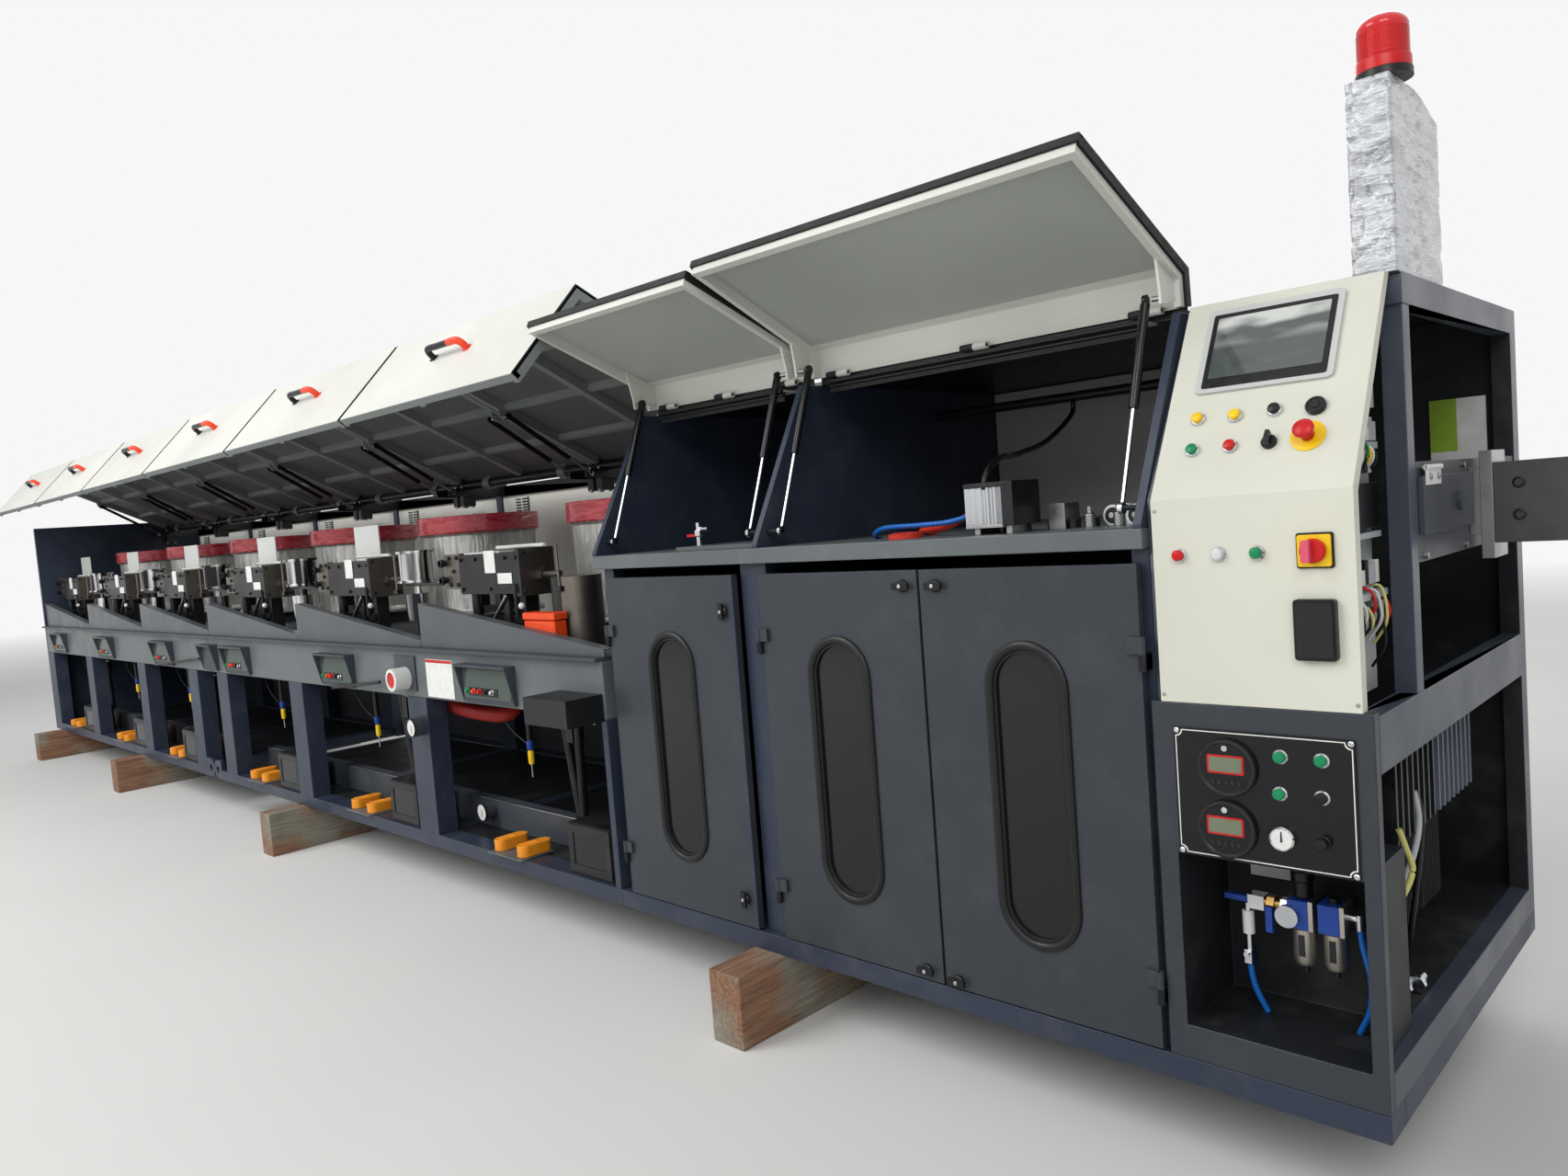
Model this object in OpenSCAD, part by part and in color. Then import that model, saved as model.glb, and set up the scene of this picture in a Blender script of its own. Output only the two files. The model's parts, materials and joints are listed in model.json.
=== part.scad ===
// Straight-through wire drawing machine: an enclosure with the operator's cabinet at the wire
// inlet, and a row of drawing blocks under tilting hoods. Drawn with x = 0 at the cabinet's right
// side (the row runs to -x), y = 0 at the front and z = 0 under the steel base.

/* [Machine] */
// Length of one drawing bay
bay_pitch = 1265; // [1200:5:1340]
// Depth of the machine from front to back
depth = 1275; // [1250:5:1350]
// Length of the enclosure and its cabinet together
enclosure_len = 2360; // [2340:5:2400]
// Width of the control cabinet
cabinet_w = 430; // [420:5:450]
// Gap in the steel base at the section joint
section_gap = 235; // [180:5:260]

/* [Stand] */
// Height of the timber blocks
block_h = 211; // [150:1:260]
// Width of a timber block
block_w = 125; // [90:5:160]
// How far the timber blocks stick out in front and behind
block_out = 186; // [100:2:240]

/* [Base] */
// Height of the bottom sills
sill_h = 55; // [40:5:70]
// Width of the bottom sills
sill_w = 90; // [70:5:110]
// Height at which the front beam starts
beam_z = 633; // [600:1:650]
// Height of the working deck over the drawing bays
deck_z = 844; // [820:1:860]
// Thickness of the deck plate
deck_t = 12; // [8:1:16]
// Width of the base posts
post_w = 160; // [140:5:170]
// Thickness of the rear panels
rear_t = 20; // [12:1:25]
// How far the deck stands out in front of the beam
deck_lip = 28; // [15:1:35]
// Height of a sawtooth plate's tall edge over the deck
tooth_tall = 180; // [140:5:220]
// Height of a sawtooth plate's low edge over the deck
tooth_low = 26; // [15:1:40]

/* [Enclosure] */
// Thickness of the enclosure's walls
wall_t = 20; // [12:1:24]
// Distance from the enclosure's left end to its partition
small_len = 770; // [740:5:800]
// Height of the doors' lower edge
door_z = 60; // [58:1:66]
// Height of the doors
door_h = 1048; // [1000:4:1050]
// Thickness of a door
door_t = 22; // [16:1:24]
// Width of the left door
door_1_w = 604; // [560:2:610]
// Width of the right door
door_3_w = 570; // [530:2:574]
// Width of the oblong door windows, without their trim
window_w = 176; // [140:2:200]
// Height of the oblong door windows, without their trim
window_h = 684; // [600:4:740]
// Width of the trim round a door window
trim_w = 22; // [14:1:28]
// Height of the shelf's underside
shelf_z = 1138; // [1130:1:1145]
// Thickness of the shelf
shelf_t = 44; // [36:1:50]
// Height of the enclosure's roof
roof_z = 1645; // [1640:1:1655]
// How far back the front of the roof lies
roof_y = 243; // [235:1:250]

/* [Enclosure hoods] */
// Distance of the hood hinges from the front
lid_hinge_y = 295; // [292:1:300]
// Length of the hoods' short leg
lid_leg = 80; // [76:1:84]
// Length of the hoods' long panel
lid_panel = 500; // [470:2:504]
// How far the large hood stands open, in degrees
lid_open = 86.9; // [80:0.1:88]
// How much less the small hood stands open, in degrees
small_less = 3; // [0:0.5:5]
// Depth of the hoods' folded edge frames
lid_edge = 34; // [20:1:35]

/* [Row hoods] */
// Distance of the row's hinge pipe from the front
row_hinge_y = 996; // [990:1:1002]
// Outside diameter of the hinge pipe
pipe_d = 48; // [40:1:50]
// Reach of the row hoods in front of their hinge
hood_reach = 1051; // [1040:1:1060]
// Drop of the row hoods' bend under their hinge
hood_drop = 272; // [265:1:280]
// Height of the row hoods' front panel
hood_front = 408; // [380:2:410]
// How far the row hoods stand open, in degrees
hood_open = 42.4; // [38:0.1:44]
// Gap between two hoods
hood_gap = 16; // [12:1:24]
// Depth of the row hoods' ribs
rib_depth = 40; // [25:1:44]

/* [Struts] */
// Diameter of the gas struts' tubes
tube_d = 22; // [18:1:24]
// Diameter of the gas struts' rods
rod_d = 10; // [8:1:12]
// Diameter of the studs that carry the struts
stud_d = 12; // [10:1:14]
// Length of a row strut's tube
row_tube = 350; // [300:5:360]
// Length of an enclosure strut's tube
lid_tube = 255; // [230:5:270]

/* [Drawing blocks] */
// Diameter of a drawing drum
drum_d = 540; // [480:5:550]
// Diameter of the drum's rim
rim_d = 580; // [560:5:590]
// Height of the drum's rim
rim_h = 80; // [60:2:90]
// Height of a drum
drum_h = 485; // [440:5:490]
// Distance of the drum's axis from the front
drum_y = 700; // [690:5:715]
// Height of the pedestal under a drum
pedestal_h = 60; // [50:1:70]
// Diameter of the drum's spindle
spindle_d = 90; // [70:2:110]

/* [Cabinet] */
// Thickness of the cream sheet
sheet_t = 4; // [3:0.5:6]
// Height of the cream sheet's lower edge
panel_z = 819; // [814:1:824]
// Height at which the cream sheet bends back
panel_bend_z = 1237; // [1230:1:1245]
// Side of the isolator's square plate
isolator_s = 65; // [55:1:75]
// Diameter of the push buttons' bezels
bezel_d = 30; // [26:1:32]
// Diameter of the digital gauges
gauge_d = 125; // [110:1:130]

/* [Signal tower] */
// Height of the tower box
tower_h = 380; // [340:1:400]
// Width of the tower box
tower_w = 86; // [70:2:90]
// Depth of the tower box
tower_deep = 340; // [300:5:360]
// Diameter of the beacon
beacon_d = 105; // [90:1:110]

/* [Hidden] */
$fn = 48;

graphite = [0.20, 0.22, 0.25];
navy = [0.16, 0.20, 0.27];
cream = [0.80, 0.80, 0.75];
steel = [0.62, 0.63, 0.64];
black = [0.08, 0.08, 0.09];
red = [0.70, 0.12, 0.18];
orange = [1.00, 0.45, 0.12];
timber = [0.45, 0.30, 0.20];

bays = 6;
row_end = -enclosure_len - bays * bay_pitch;
section_end = -enclosure_len - 3 * bay_pitch;
section_start = section_end - section_gap;
seat = 0.3;
moving_gap = 5;

// Heights and faces that follow from the sizes above.
part_x = -enclosure_len + small_len;
shelf_top = shelf_z + shelf_t;
cabinet_h = roof_z + 5;
row_hinge_z = roof_z - 75;

// Four blocks carry the machine; the origin lies under the second one.
block_x = [-1658, -5030, -7650, row_end + 160];

module place() translate([-block_x[1], -depth / 2, block_h]) children();
module box(lo, hi) translate(lo) cube(hi - lo);
module along_x(x0, x1) translate([x0, 0, 0]) rotate([90, 0, 90]) linear_extrude(x1 - x0) children();
module rod_x(x0, x1, y, z, d) translate([x0, y, z]) rotate([0, 90, 0]) cylinder(h = x1 - x0, d = d);
module rod_y(x, y0, y1, z, d) translate([x, y1, z]) rotate([90, 0, 0]) cylinder(h = y1 - y0, d = d);
module each_bay() for (i = [0 : bays - 1]) translate([-enclosure_len - i * bay_pitch, 0, 0]) children();

// The pin of each door hinge stands in front of the door's face, at its outer edge.
hinge_pin_d = 8;
knuckle_d = 16;
knuckle_h = 36;
door_face = -3;
pin_y = -10;
door_hinge_z = [180, 900];

door_left = [-enclosure_len + 66, part_x + 9, -cabinet_w - 15 - door_3_w];
door_w = [door_1_w, door_left[2] - 8 - door_left[1], door_3_w];
// Doors 1 and 2 turn on their left edge, door 3 on its right edge.
door_pin = [door_left[0] - 6, door_left[1] - 6, door_left[2] + door_3_w + 6];

function unit(v) = v / norm(v);
function left_of(v) = [-v[1], v[0]];
// A sheet of thickness t along three points, with a mitred bend; t lies to the left of the path.
function bent_sheet(p, t) =
    let(n0 = left_of(unit(p[1] - p[0])), n1 = left_of(unit(p[2] - p[1])))
    let(mitre = (n0 + n1) / (1 + n0 * n1))
    [p[0], p[1], p[2], p[2] + t * n1, p[1] + t * mitre, p[0] + t * n0];

// Timber stand

module timber_blocks() color(timber) place()
    for (x = block_x)
        box([x - block_w / 2, -block_out, -block_h], [x + block_w / 2, depth + block_out, 0]);

// Steel base

sections = [[-enclosure_len + 1, 0], [section_end, -enclosure_len], [row_end, section_start]];

module base_sills() color(navy) place()
    for (s = sections) {
        box([s[0], 0, 0], [s[1], sill_w, sill_h]);
        box([s[0], depth - sill_w, 0], [s[1], depth, sill_h]);
    }

// Left edges of the row's posts from right to left, and the narrow post beside the enclosure.
post_shift = 140;
joint_post = 95;
row_posts = concat(
    [for (i = [1 : 2]) -enclosure_len - i * bay_pitch - post_shift],
    [section_end + joint_post, section_start - post_w],
    [for (i = [4 : bays - 1]) -enclosure_len - i * bay_pitch - post_shift],
    [row_end]);
end_post = [-enclosure_len - 31, -enclosure_len - 1];
row_cross = concat([for (x = row_posts) x + (post_w - sill_w) / 2], [end_post[1] - sill_w]);
enclosure_cross = [-enclosure_len + 1, part_x - sill_w / 2, -cabinet_w - sill_w, -sill_w];

eye_r = 20;
eye_plate_t = 20;
eye_reach = 62;
eye_plate_h = 110;

// A lifting eye stands out from each end of the sills at the section joint.
module eye_plate(turn) mirror([turn, 0, 0]) rotate([90, 0, 0]) translate([0, 0, -eye_plate_t])
    linear_extrude(eye_plate_t)
        difference() {
            union() {
                translate([0, 0]) square([eye_reach, eye_plate_h]);
                translate([eye_reach, eye_plate_h / 2]) circle(d = eye_plate_h);
            }
            translate([eye_reach, eye_plate_h / 2]) circle(r = eye_r);
        }

// Cross sills, the deck's cross beams and the lifting eyes.
module cross_members() color(navy) place() {
    for (x = concat(row_cross, enclosure_cross))
        box([x, sill_w, 0], [x + sill_w, depth - sill_w, sill_h]);
    for (x = row_cross)
        box([x, sill_w, deck_z - deck_t - 80], [x + sill_w, depth - rear_t - sill_w, deck_z - deck_t]);
    for (y = [0, depth - eye_plate_t]) {
        translate([section_end, y, 0]) eye_plate(1);
        translate([section_start, y, 0]) eye_plate(0);
    }
}

// Posts behind the doors' edges, as left and right faces.
door_posts = [[-enclosure_len + wall_t, door_left[0] + 4], [door_left[0] + door_1_w + 6, door_left[1] + 2],
    [-cabinet_w - 40, -cabinet_w]];
door_post_y = [28, 80];

module frame_posts() color(navy) place() {
    for (x = row_posts) {
        box([x, 0, sill_h], [x + post_w, sill_w, beam_z]);
        box([x, depth - rear_t - sill_w, sill_h], [x + post_w, depth - rear_t, deck_z - deck_t]);
    }
    box([end_post[0], 0, sill_h], [end_post[1], sill_w, beam_z]);
    box([end_post[1] - sill_w, depth - rear_t - sill_w, sill_h],
        [end_post[1], depth - rear_t, deck_z - deck_t]);
    for (x = door_posts) box([x[0], door_post_y[0], sill_h], [x[1], door_post_y[1], shelf_z]);
    for (i = [0 : bays])
        box([rear_post_x(i), rear_post_y, deck_z],
            [rear_post_x(i) + rear_post_w, depth - rear_t, rear_post_top]);
}

module front_beams() color(graphite) place()
    for (s = [[row_end, section_end - 1], [section_end, -enclosure_len]])
        box([s[0], 0, beam_z], [s[1], sill_w, deck_z - deck_t]);

module rear_panels() color(graphite) place() {
    for (s = [[row_end, section_start], [section_end, -enclosure_len - 1]])
        box([s[0], depth - rear_t, sill_h], [s[1], depth, deck_z]);
    box([-enclosure_len, depth - rear_t, sill_h], [-cabinet_w, depth, roof_z]);
}

module deck_plates() color(graphite) place() {
    each_bay()
        box([-bay_pitch + 0.5, -deck_lip, deck_z - deck_t], [-0.5, depth - rear_t, deck_z]);
    for (s = [[low_walls[0] + wall_t, low_walls[1]], [low_walls[1] + wall_t, low_walls[2]]])
        box([s[0], door_post_y[1], sill_h], [s[1], depth - rear_t, sill_h + 6]);
}

// The plates along the front rise to the left over each bay, with a folded edge.
tooth_y = 14;
tooth_t = 6;
tooth_fold = 46;

module sawtooth_plates() color(graphite) place()
    each_bay() {
        translate([0, tooth_y + tooth_t, deck_z]) rotate([90, 0, 0])
            linear_extrude(tooth_t)
                polygon([[-bay_pitch + 2, 0], [-2, 0], [-2, tooth_low], [-bay_pitch + 2, tooth_tall]]);
        translate([0, tooth_y + tooth_fold, deck_z]) rotate([90, 0, 0])
            linear_extrude(tooth_fold)
                polygon([[-bay_pitch + 2, tooth_tall - 5], [-2, tooth_low - 5],
                         [-2, tooth_low], [-bay_pitch + 2, tooth_tall]]);
        box([-bay_pitch + 2, tooth_y, deck_z], [-bay_pitch + 8, tooth_y + tooth_fold, deck_z + tooth_tall - 2]);
    }

// Drawing blocks

module drum_pedestals() color(graphite) place()
    each_bay() translate([-bay_pitch / 2, drum_y, deck_z]) {
        cylinder(h = pedestal_h - 22, d = drum_d * 0.8);
        cylinder(h = pedestal_h - seat, d = drum_d * 0.66);
        cylinder(h = pedestal_h + 58, d = spindle_d);
    }

drum_wall = 20;

// The drum is a turned shell: foot flange, slightly tapered body, rim band and a dished top.
module drum(i) color(red) place()
    translate([-enclosure_len - (i - 0.5) * bay_pitch, drum_y, deck_z + pedestal_h])
        rotate_extrude($fn = 96)
            polygon([[spindle_d / 2 + seat, 0], [rim_d / 2 - 6, 0], [rim_d / 2 - 6, 16],
                     [drum_d / 2 - 8, 34], [drum_d / 2, drum_h - rim_h - 14],
                     [rim_d / 2, drum_h - rim_h], [rim_d / 2, drum_h], [drum_d / 2 - drum_wall, drum_h],
                     [drum_d / 2 - drum_wall - 8, drum_h - 64], [spindle_d, drum_h - 64],
                     [spindle_d, drum_h - 34], [0, drum_h - 34], [0, 64], [spindle_d / 2 + seat, 64]]);

// Places in a bay are counted from its right end; the die box stands left of the middle.
die_box = [[-1088, 120, deck_z + 206], [-640, 262, deck_z + 366]];
die_legs = [-1060, -880, -700];
side_plate = [[-1223, 124, deck_z + 228], [-1088, 148, deck_z + 372]];
cheek = [[-640, 112, deck_z + 196], [-626, 270, deck_z + 378]];
lid_plate_x = [-1050, -790];
lid_plate_t = 6;
lid_plate_top = 1376;
nut_y = 206;
nut_z = deck_z + 273;
spool_x = -367;
spool_y = 215;

// The die box on its legs, with its side plate, knobs, cheek, nut and shaft.
module die_box() {
    box(die_box[0], die_box[1]);
    for (x = die_legs)
        box([x - 20, 160, deck_z], [x + 20, 220, die_box[0][2] - seat]);
    box(side_plate[0], [side_plate[1][0] - seat, side_plate[1][1], side_plate[1][2]]);
    for (z = [side_plate[0][2] + 38, side_plate[1][2] - 36])
        rod_y(side_plate[0][0] + 18, 96, side_plate[0][1] - seat, z, 26);
    box([cheek[0][0] + seat, cheek[0][1], cheek[0][2]], cheek[1]);
    rod_x(cheek[1][0] + seat, cheek[1][0] + 30, nut_y, nut_z, 60, $fn = 6);
    rod_x(cheek[1][0] + 30 + seat, cheek[1][0] + 126, nut_y, nut_z, 26);
}

// A guide spool turned in one piece with its shaft, and the arm to the next bay's side plate.
module guide_spool() translate([spool_x, spool_y, deck_z]) {
    rotate_extrude()
        polygon([[0, 0], [18, 0], [18, 86], [60, 86], [60, 206], [18, 206], [18, 256], [88, 256],
                 [88, 268], [75, 268], [75, 386], [85, 386], [85, 398], [0, 398]]);
    translate([0, 0, 241])
        linear_extrude(12)
            difference() {
                polygon([[-30, -50], [0, -65], [-spool_x + 30, -55], [-spool_x + 30, -15], [0, 45], [-30, 35]]);
                circle(r = 18 + seat);
            }
}

// In the first bay the die box's lid is shut and a pot stands in the spool's place.
module die_stations() color(black) place()
    for (i = [0 : bays - 1])
        translate([-enclosure_len - i * bay_pitch, 0, 0]) {
            die_box();
            if (i == 0) {
                box([lid_plate_x[0], 128, die_box[1][2] + seat],
                    [lid_plate_x[1], die_box[1][1] - 4, die_box[1][2] + seat + lid_plate_t]);
                translate([spool_x - 45, spool_y, deck_z]) cylinder(h = 264, d = 188);
            } else {
                box([lid_plate_x[0], die_box[1][1] - 8, die_box[1][2] + seat],
                    [lid_plate_x[1], die_box[1][1] - 8 + lid_plate_t, lid_plate_top]);
                guide_spool();
            }
        }

rear_post_w = 56;
rear_post_y = depth - rear_t - 45;
rear_post_top = row_hinge_z + 70;

// Left face of rear post i; the first and last stand inside the row's ends.
function rear_post_x(i) = -enclosure_len - i * bay_pitch
    - (i == 0 ? rear_post_w : i == bays ? 0 : rear_post_w / 2);
// Clear span between the rear posts of bay i, counted from 0 at the enclosure.
function rear_span(i) = [rear_post_x(i + 1) + rear_post_w, rear_post_x(i)];

strut_in = 75;
arm_t = 10;
row_strut_foot = [row_hinge_y - 106, row_hinge_z - 35];
row_beam = [row_hinge_z - 70, row_hinge_z - 10];

// Each bay's hinge pipe is carried by two arms from the rear beam; the arms also carry the struts.
module hinge_rail() color(black) place() {
    for (i = [0 : bays - 1])
        box([rear_span(i)[0], rear_post_y, row_beam[0]], [rear_span(i)[1], depth - rear_t, row_beam[1]]);
    each_bay() {
        rod_x(-bay_pitch + 20, -20, row_hinge_y, row_hinge_z, pipe_d);
        for (x = [-strut_in + 6, -bay_pitch + strut_in - 6 - arm_t])
            along_x(x, x + arm_t)
                polygon([[row_strut_foot[0] - 22, row_strut_foot[1] - 18], [rear_post_y + 5, row_beam[0]],
                         [rear_post_y + 5, row_beam[1]], [row_hinge_y, row_beam[1]],
                         [row_strut_foot[0] - 22, row_strut_foot[1] + 16]]);
        rod_x(-strut_in - 6, -strut_in + 8, row_strut_foot[0], row_strut_foot[1], stud_d);
        rod_x(-bay_pitch + strut_in - 8, -bay_pitch + strut_in + 6, row_strut_foot[0], row_strut_foot[1],
            stud_d);
    }
}

vent_slots = 6;

// White panels close the back between the posts, each with a louvred grille.
module vent_panels() color(cream) place()
    for (i = [0 : bays - 1])
        difference() {
            box([rear_span(i)[0], rear_post_y + 12, deck_z], [rear_span(i)[1], rear_post_y + 18, row_beam[0]]);
            for (k = [0 : vent_slots - 1])
                translate([rear_span(i)[1] - 290, rear_post_y, row_beam[0] - 170 + k * 18]) cube([140, 40, 8]);
        }

// Clear spans between the base posts, one for each bay.
base_spans = [[row_posts[0] + post_w, end_post[0]], [row_posts[1] + post_w, row_posts[0]],
    [row_posts[2] + post_w, row_posts[1]], [row_posts[4] + post_w, row_posts[3]],
    [row_posts[5] + post_w, row_posts[4]], [row_posts[6] + post_w, row_posts[5]]];
// Ends of the control box on the front beam, counted from each bay's right end.
beam_boxes = [[-908, -540], [-965, -620], [-965, -620], [-965, -620], [-965, -620], [-965, -620]];
beam_box_z = [beam_z + 12, beam_z + 162];
inner_beam_y = [200, 260];
inner_beam_top = 170;
window_box = [285, 35];
window_box_top = 240;
socket_x = row_posts[0] + 25;
cover_box = [[-enclosure_len - 263, -150], [-enclosure_len - 11, 0]];

// A box bent from sheet: its front leans in under a flange, between two tapered wings.
module beam_box(x0, x1) {
    along_x(x0, x1) polygon([[0, beam_box_z[0]], [-14, beam_box_z[0]], [-14, beam_box_z[1] - 10],
                             [-48, beam_box_z[1] - 10], [-48, beam_box_z[1]], [0, beam_box_z[1]]]);
    for (x = [x0, x1 - 6])
        along_x(x, x + 6)
            polygon([[0, beam_box_z[0]], [-14, beam_box_z[0]], [-48, beam_box_z[1]], [0, beam_box_z[1]]]);
}

// Control boxes, socket and gauges at the front, and the inner beam and window box in each base bay.
module bay_fittings() color(graphite) place() {
    for (i = [0 : bays - 1])
        translate([-enclosure_len - i * bay_pitch, 0, 0]) beam_box(beam_boxes[i][0], beam_boxes[i][1]);
    beam_box(section_end - 67, section_end + 156);
    box([row_posts[0] - 75, -8, beam_z + 27], [row_posts[0] + 103, 0, deck_z - 39]);
    rod_y(socket_x, -70, -8 - seat, beam_z + 79, 95);
    box([cover_box[0][0], cover_box[0][1], beam_z - 5], [cover_box[1][0], cover_box[1][1], beam_z + 88]);
    rod_y(row_posts[0] + 115, -50, 0, 514, 79);
    rod_y(row_posts[0] + post_w + 105, inner_beam_y[0] - 50, inner_beam_y[0] - seat, 130, 70);
    for (s = base_spans) {
        box([s[0] - 60, inner_beam_y[0], sill_h],
            [s[1] + (s[1] == end_post[0] ? 25 : 60), inner_beam_y[1], inner_beam_top]);
        box([s[1] - window_box[0], 20, sill_h], [s[1] - window_box[1], 150, window_box_top]);
    }
}

tray_w = 236;
pedal_w = 62;

// Right end of the pedal tray in bay i: under the die box, clear of the window box.
function tray_x(i) = min(-enclosure_len - i * bay_pitch - 590, base_spans[i][1] - window_box[0] - 15);

module foot_pedals() color(orange) place()
    for (i = [0 : bays - 1]) translate([tray_x(i) - tray_w / 2, 0, sill_h]) {
        box([-tray_w / 2, -22, 0], [tray_w / 2, 130, 6]);
        for (x = [-80, 80])
            translate([x, 0, 6 + seat])
                linear_extrude(44) {
                    translate([-pedal_w / 2, -5 + pedal_w / 2]) square([pedal_w, 140 - pedal_w]);
                    for (y = [-5 + pedal_w / 2, 135 - pedal_w / 2]) translate([0, y]) circle(d = pedal_w);
                }
    }

// Enclosure

high_walls = [-enclosure_len, part_x - wall_t / 2, -cabinet_w - wall_t];
low_walls = [-enclosure_len, part_x - 55 - wall_t / 2, -cabinet_w - wall_t];

module side_walls() color(navy) place() {
    box([row_end - 30, 0, 0], [row_end, depth, rear_post_top]);
    for (x = low_walls)
        box([x, door_post_y[1], sill_h], [x + wall_t, depth - rear_t, shelf_z]);
    for (x = high_walls)
        along_x(x, x + wall_t)
            polygon([[0, shelf_top], [depth - rear_t, shelf_top], [depth - rear_t, roof_z],
                     [roof_y, roof_z], [0, shelf_top + 8]]);
}

module shelf_and_roof() color(graphite) place() {
    box([-enclosure_len, 0, shelf_z], [-cabinet_w, depth - rear_t, shelf_top]);
    box([-enclosure_len, lid_hinge_y + 30, roof_z], [-cabinet_w - 2, depth, roof_z + 12]);
}

motor = [[-921, 74, shelf_top + 20], [-783, 194, shelf_top + 125]];
rollers = [[-614, 232], [-512, 145]];
roller_d = 50;

// The feed motor on its feet, two straightening rollers, a guide block and the roof's bar.
module take_in_gear() color(steel) place() {
    box(motor[0], motor[1]);
    for (x = [motor[0][0] + 16, motor[1][0] - 32])
        box([x, motor[0][1] + 16, shelf_top], [x + 16, motor[1][1] - 16, motor[0][2] - seat]);
    for (p = rollers) rod_y(p[0], p[1], p[1] + 90, shelf_top + roller_d / 2, roller_d);
    box([-760, 190, shelf_top], [-715, 260, shelf_top + 62]);
    rod_x(high_walls[1] + wall_t, high_walls[2], 900, roof_z - 85, 30);
}

// Doors
module oblong(w, h) {
    square([w, h - w], center = true);
    for (s = [-1, 1]) translate([0, s * (h - w) / 2]) circle(d = w);
}

// A door: sheet with an oblong window, its glass and trim, and two hinge knuckles.
module door(k) color(graphite) place() {
    side = k == 2 ? -1 : 1;
    mid = [door_left[k] + door_w[k] / 2, 0, door_z + door_h / 2 - 8];
    difference() {
        box([door_left[k], door_face, door_z], [door_left[k] + door_w[k], door_face + door_t, door_z + door_h]);
        translate(mid + [0, 60, 0]) rotate([90, 0, 0]) linear_extrude(120) oblong(window_w, window_h);
    }
    translate(mid + [0, door_face + door_t / 2 + 3, 0]) rotate([90, 0, 0])
        linear_extrude(6) oblong(window_w + 4, window_h + 4);
    translate(mid + [0, door_face + 2, 0]) rotate([90, 0, 0])
        linear_extrude(10)
            difference() {
                oblong(window_w + 2 * trim_w, window_h + 2 * trim_w);
                oblong(window_w - 2, window_h - 2);
            }
    for (z = door_hinge_z)
        difference() {
            union() {
                translate([door_pin[k], pin_y, z + knuckle_h / 2 + seat])
                    cylinder(h = knuckle_h, d = knuckle_d);
                box([min(door_pin[k], door_pin[k] + side * 34), pin_y - 3, z + knuckle_h / 2 + seat],
                    [max(door_pin[k], door_pin[k] + side * 34), door_face + 1, z + 1.5 * knuckle_h + seat]);
            }
            translate([door_pin[k], pin_y, z]) cylinder(h = 3 * knuckle_h, d = hinge_pin_d + 2 * seat);
        }
}

// Fixed halves of the door hinges, the studs of the enclosure's struts and the hoods' hinge pins.
module hinge_studs() color(black) place() {
    for (k = [0 : 2])
        for (z = door_hinge_z) {
            translate([door_pin[k], pin_y, z - knuckle_h / 2]) cylinder(h = knuckle_h, d = knuckle_d);
            translate([door_pin[k], pin_y, z - knuckle_h / 2]) cylinder(h = 2 * knuckle_h - 4, d = hinge_pin_d);
            box([door_pin[k] - 4, pin_y, z - knuckle_h / 2],
                [door_pin[k] + 4, door_post_y[0], z + knuckle_h / 2]);
        }
    for (k = [0 : 1]) {
        rod_x(lid_walls[k][0], lid_spans[k][0] + lid_inset + 6, lid_foot[0], lid_foot[1], stud_d);
        rod_x(lid_spans[k][1] - lid_inset - 6, lid_walls[k][1], lid_foot[0], lid_foot[1], stud_d);
        for (j = [0 : lid_knuckles - 1])
            translate([lid_knuckle_x(k, j), lid_hinge_y, lid_hinge_z]) {
                rod_x(0, lid_knuckle_w, 0, 0, lid_knuckle_d);
                rod_x(0, 2 * lid_knuckle_w, 0, 0, lid_pin_d);
                box([0, 0, roof_z + 12 - lid_hinge_z], [lid_knuckle_w, 60, roof_z + 15 - lid_hinge_z]);
            }
    }
}

// Enclosure hoods

lid_hinge_z = roof_z + 21;
lid_inset = 60;
lid_foot = [50, shelf_top + 43];
lid_head = [lid_hinge_y - 80, roof_z + 35];
lid_slope = atan2(roof_z - shelf_top, roof_y);
lid_spans = [[-enclosure_len + 2, part_x - 4], [part_x + 4, -cabinet_w - 6]];
// Faces of the walls that carry each hood's struts.
lid_walls = [[high_walls[0] + wall_t, high_walls[1]], [high_walls[1] + wall_t, high_walls[2]]];
lid_top = 16;
lid_pin_d = 10;
lid_knuckle_d = 20;
lid_knuckle_w = 40;
lid_knuckles = 3;
// Left edge of knuckle pair j on hood k: the fixed knuckle comes first, the hood's own beside it.
function lid_knuckle_x(k, j) =
    lid_spans[k][0] + 60 + j * (lid_spans[k][1] - lid_spans[k][0] - 120 - 2 * lid_knuckle_w) / (lid_knuckles - 1);
lid_angles = [lid_open - small_less, lid_open];

function turned(v, a) = [v[0] * cos(a) - v[1] * sin(a), v[0] * sin(a) + v[1] * cos(a)];
// The strut's head as a point of the closed hood, measured from the hinge.
function head_closed(k) = turned(lid_head - [lid_hinge_y, lid_hinge_z], lid_angles[k]);

lid_tip = [-lid_leg, lid_top] + lid_panel * [-cos(lid_slope), -sin(lid_slope)];

// A point of the closed hood's panel: u along it from the bend, d inwards from its outer face.
function lid_point(u, d) = [-lid_leg, lid_top]
    + u * [-cos(lid_slope), -sin(lid_slope)] + d * [sin(lid_slope), -cos(lid_slope)];

module lid_profile(t) polygon(bent_sheet([[2, lid_top], [-lid_leg, lid_top], lid_tip], t));

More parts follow.
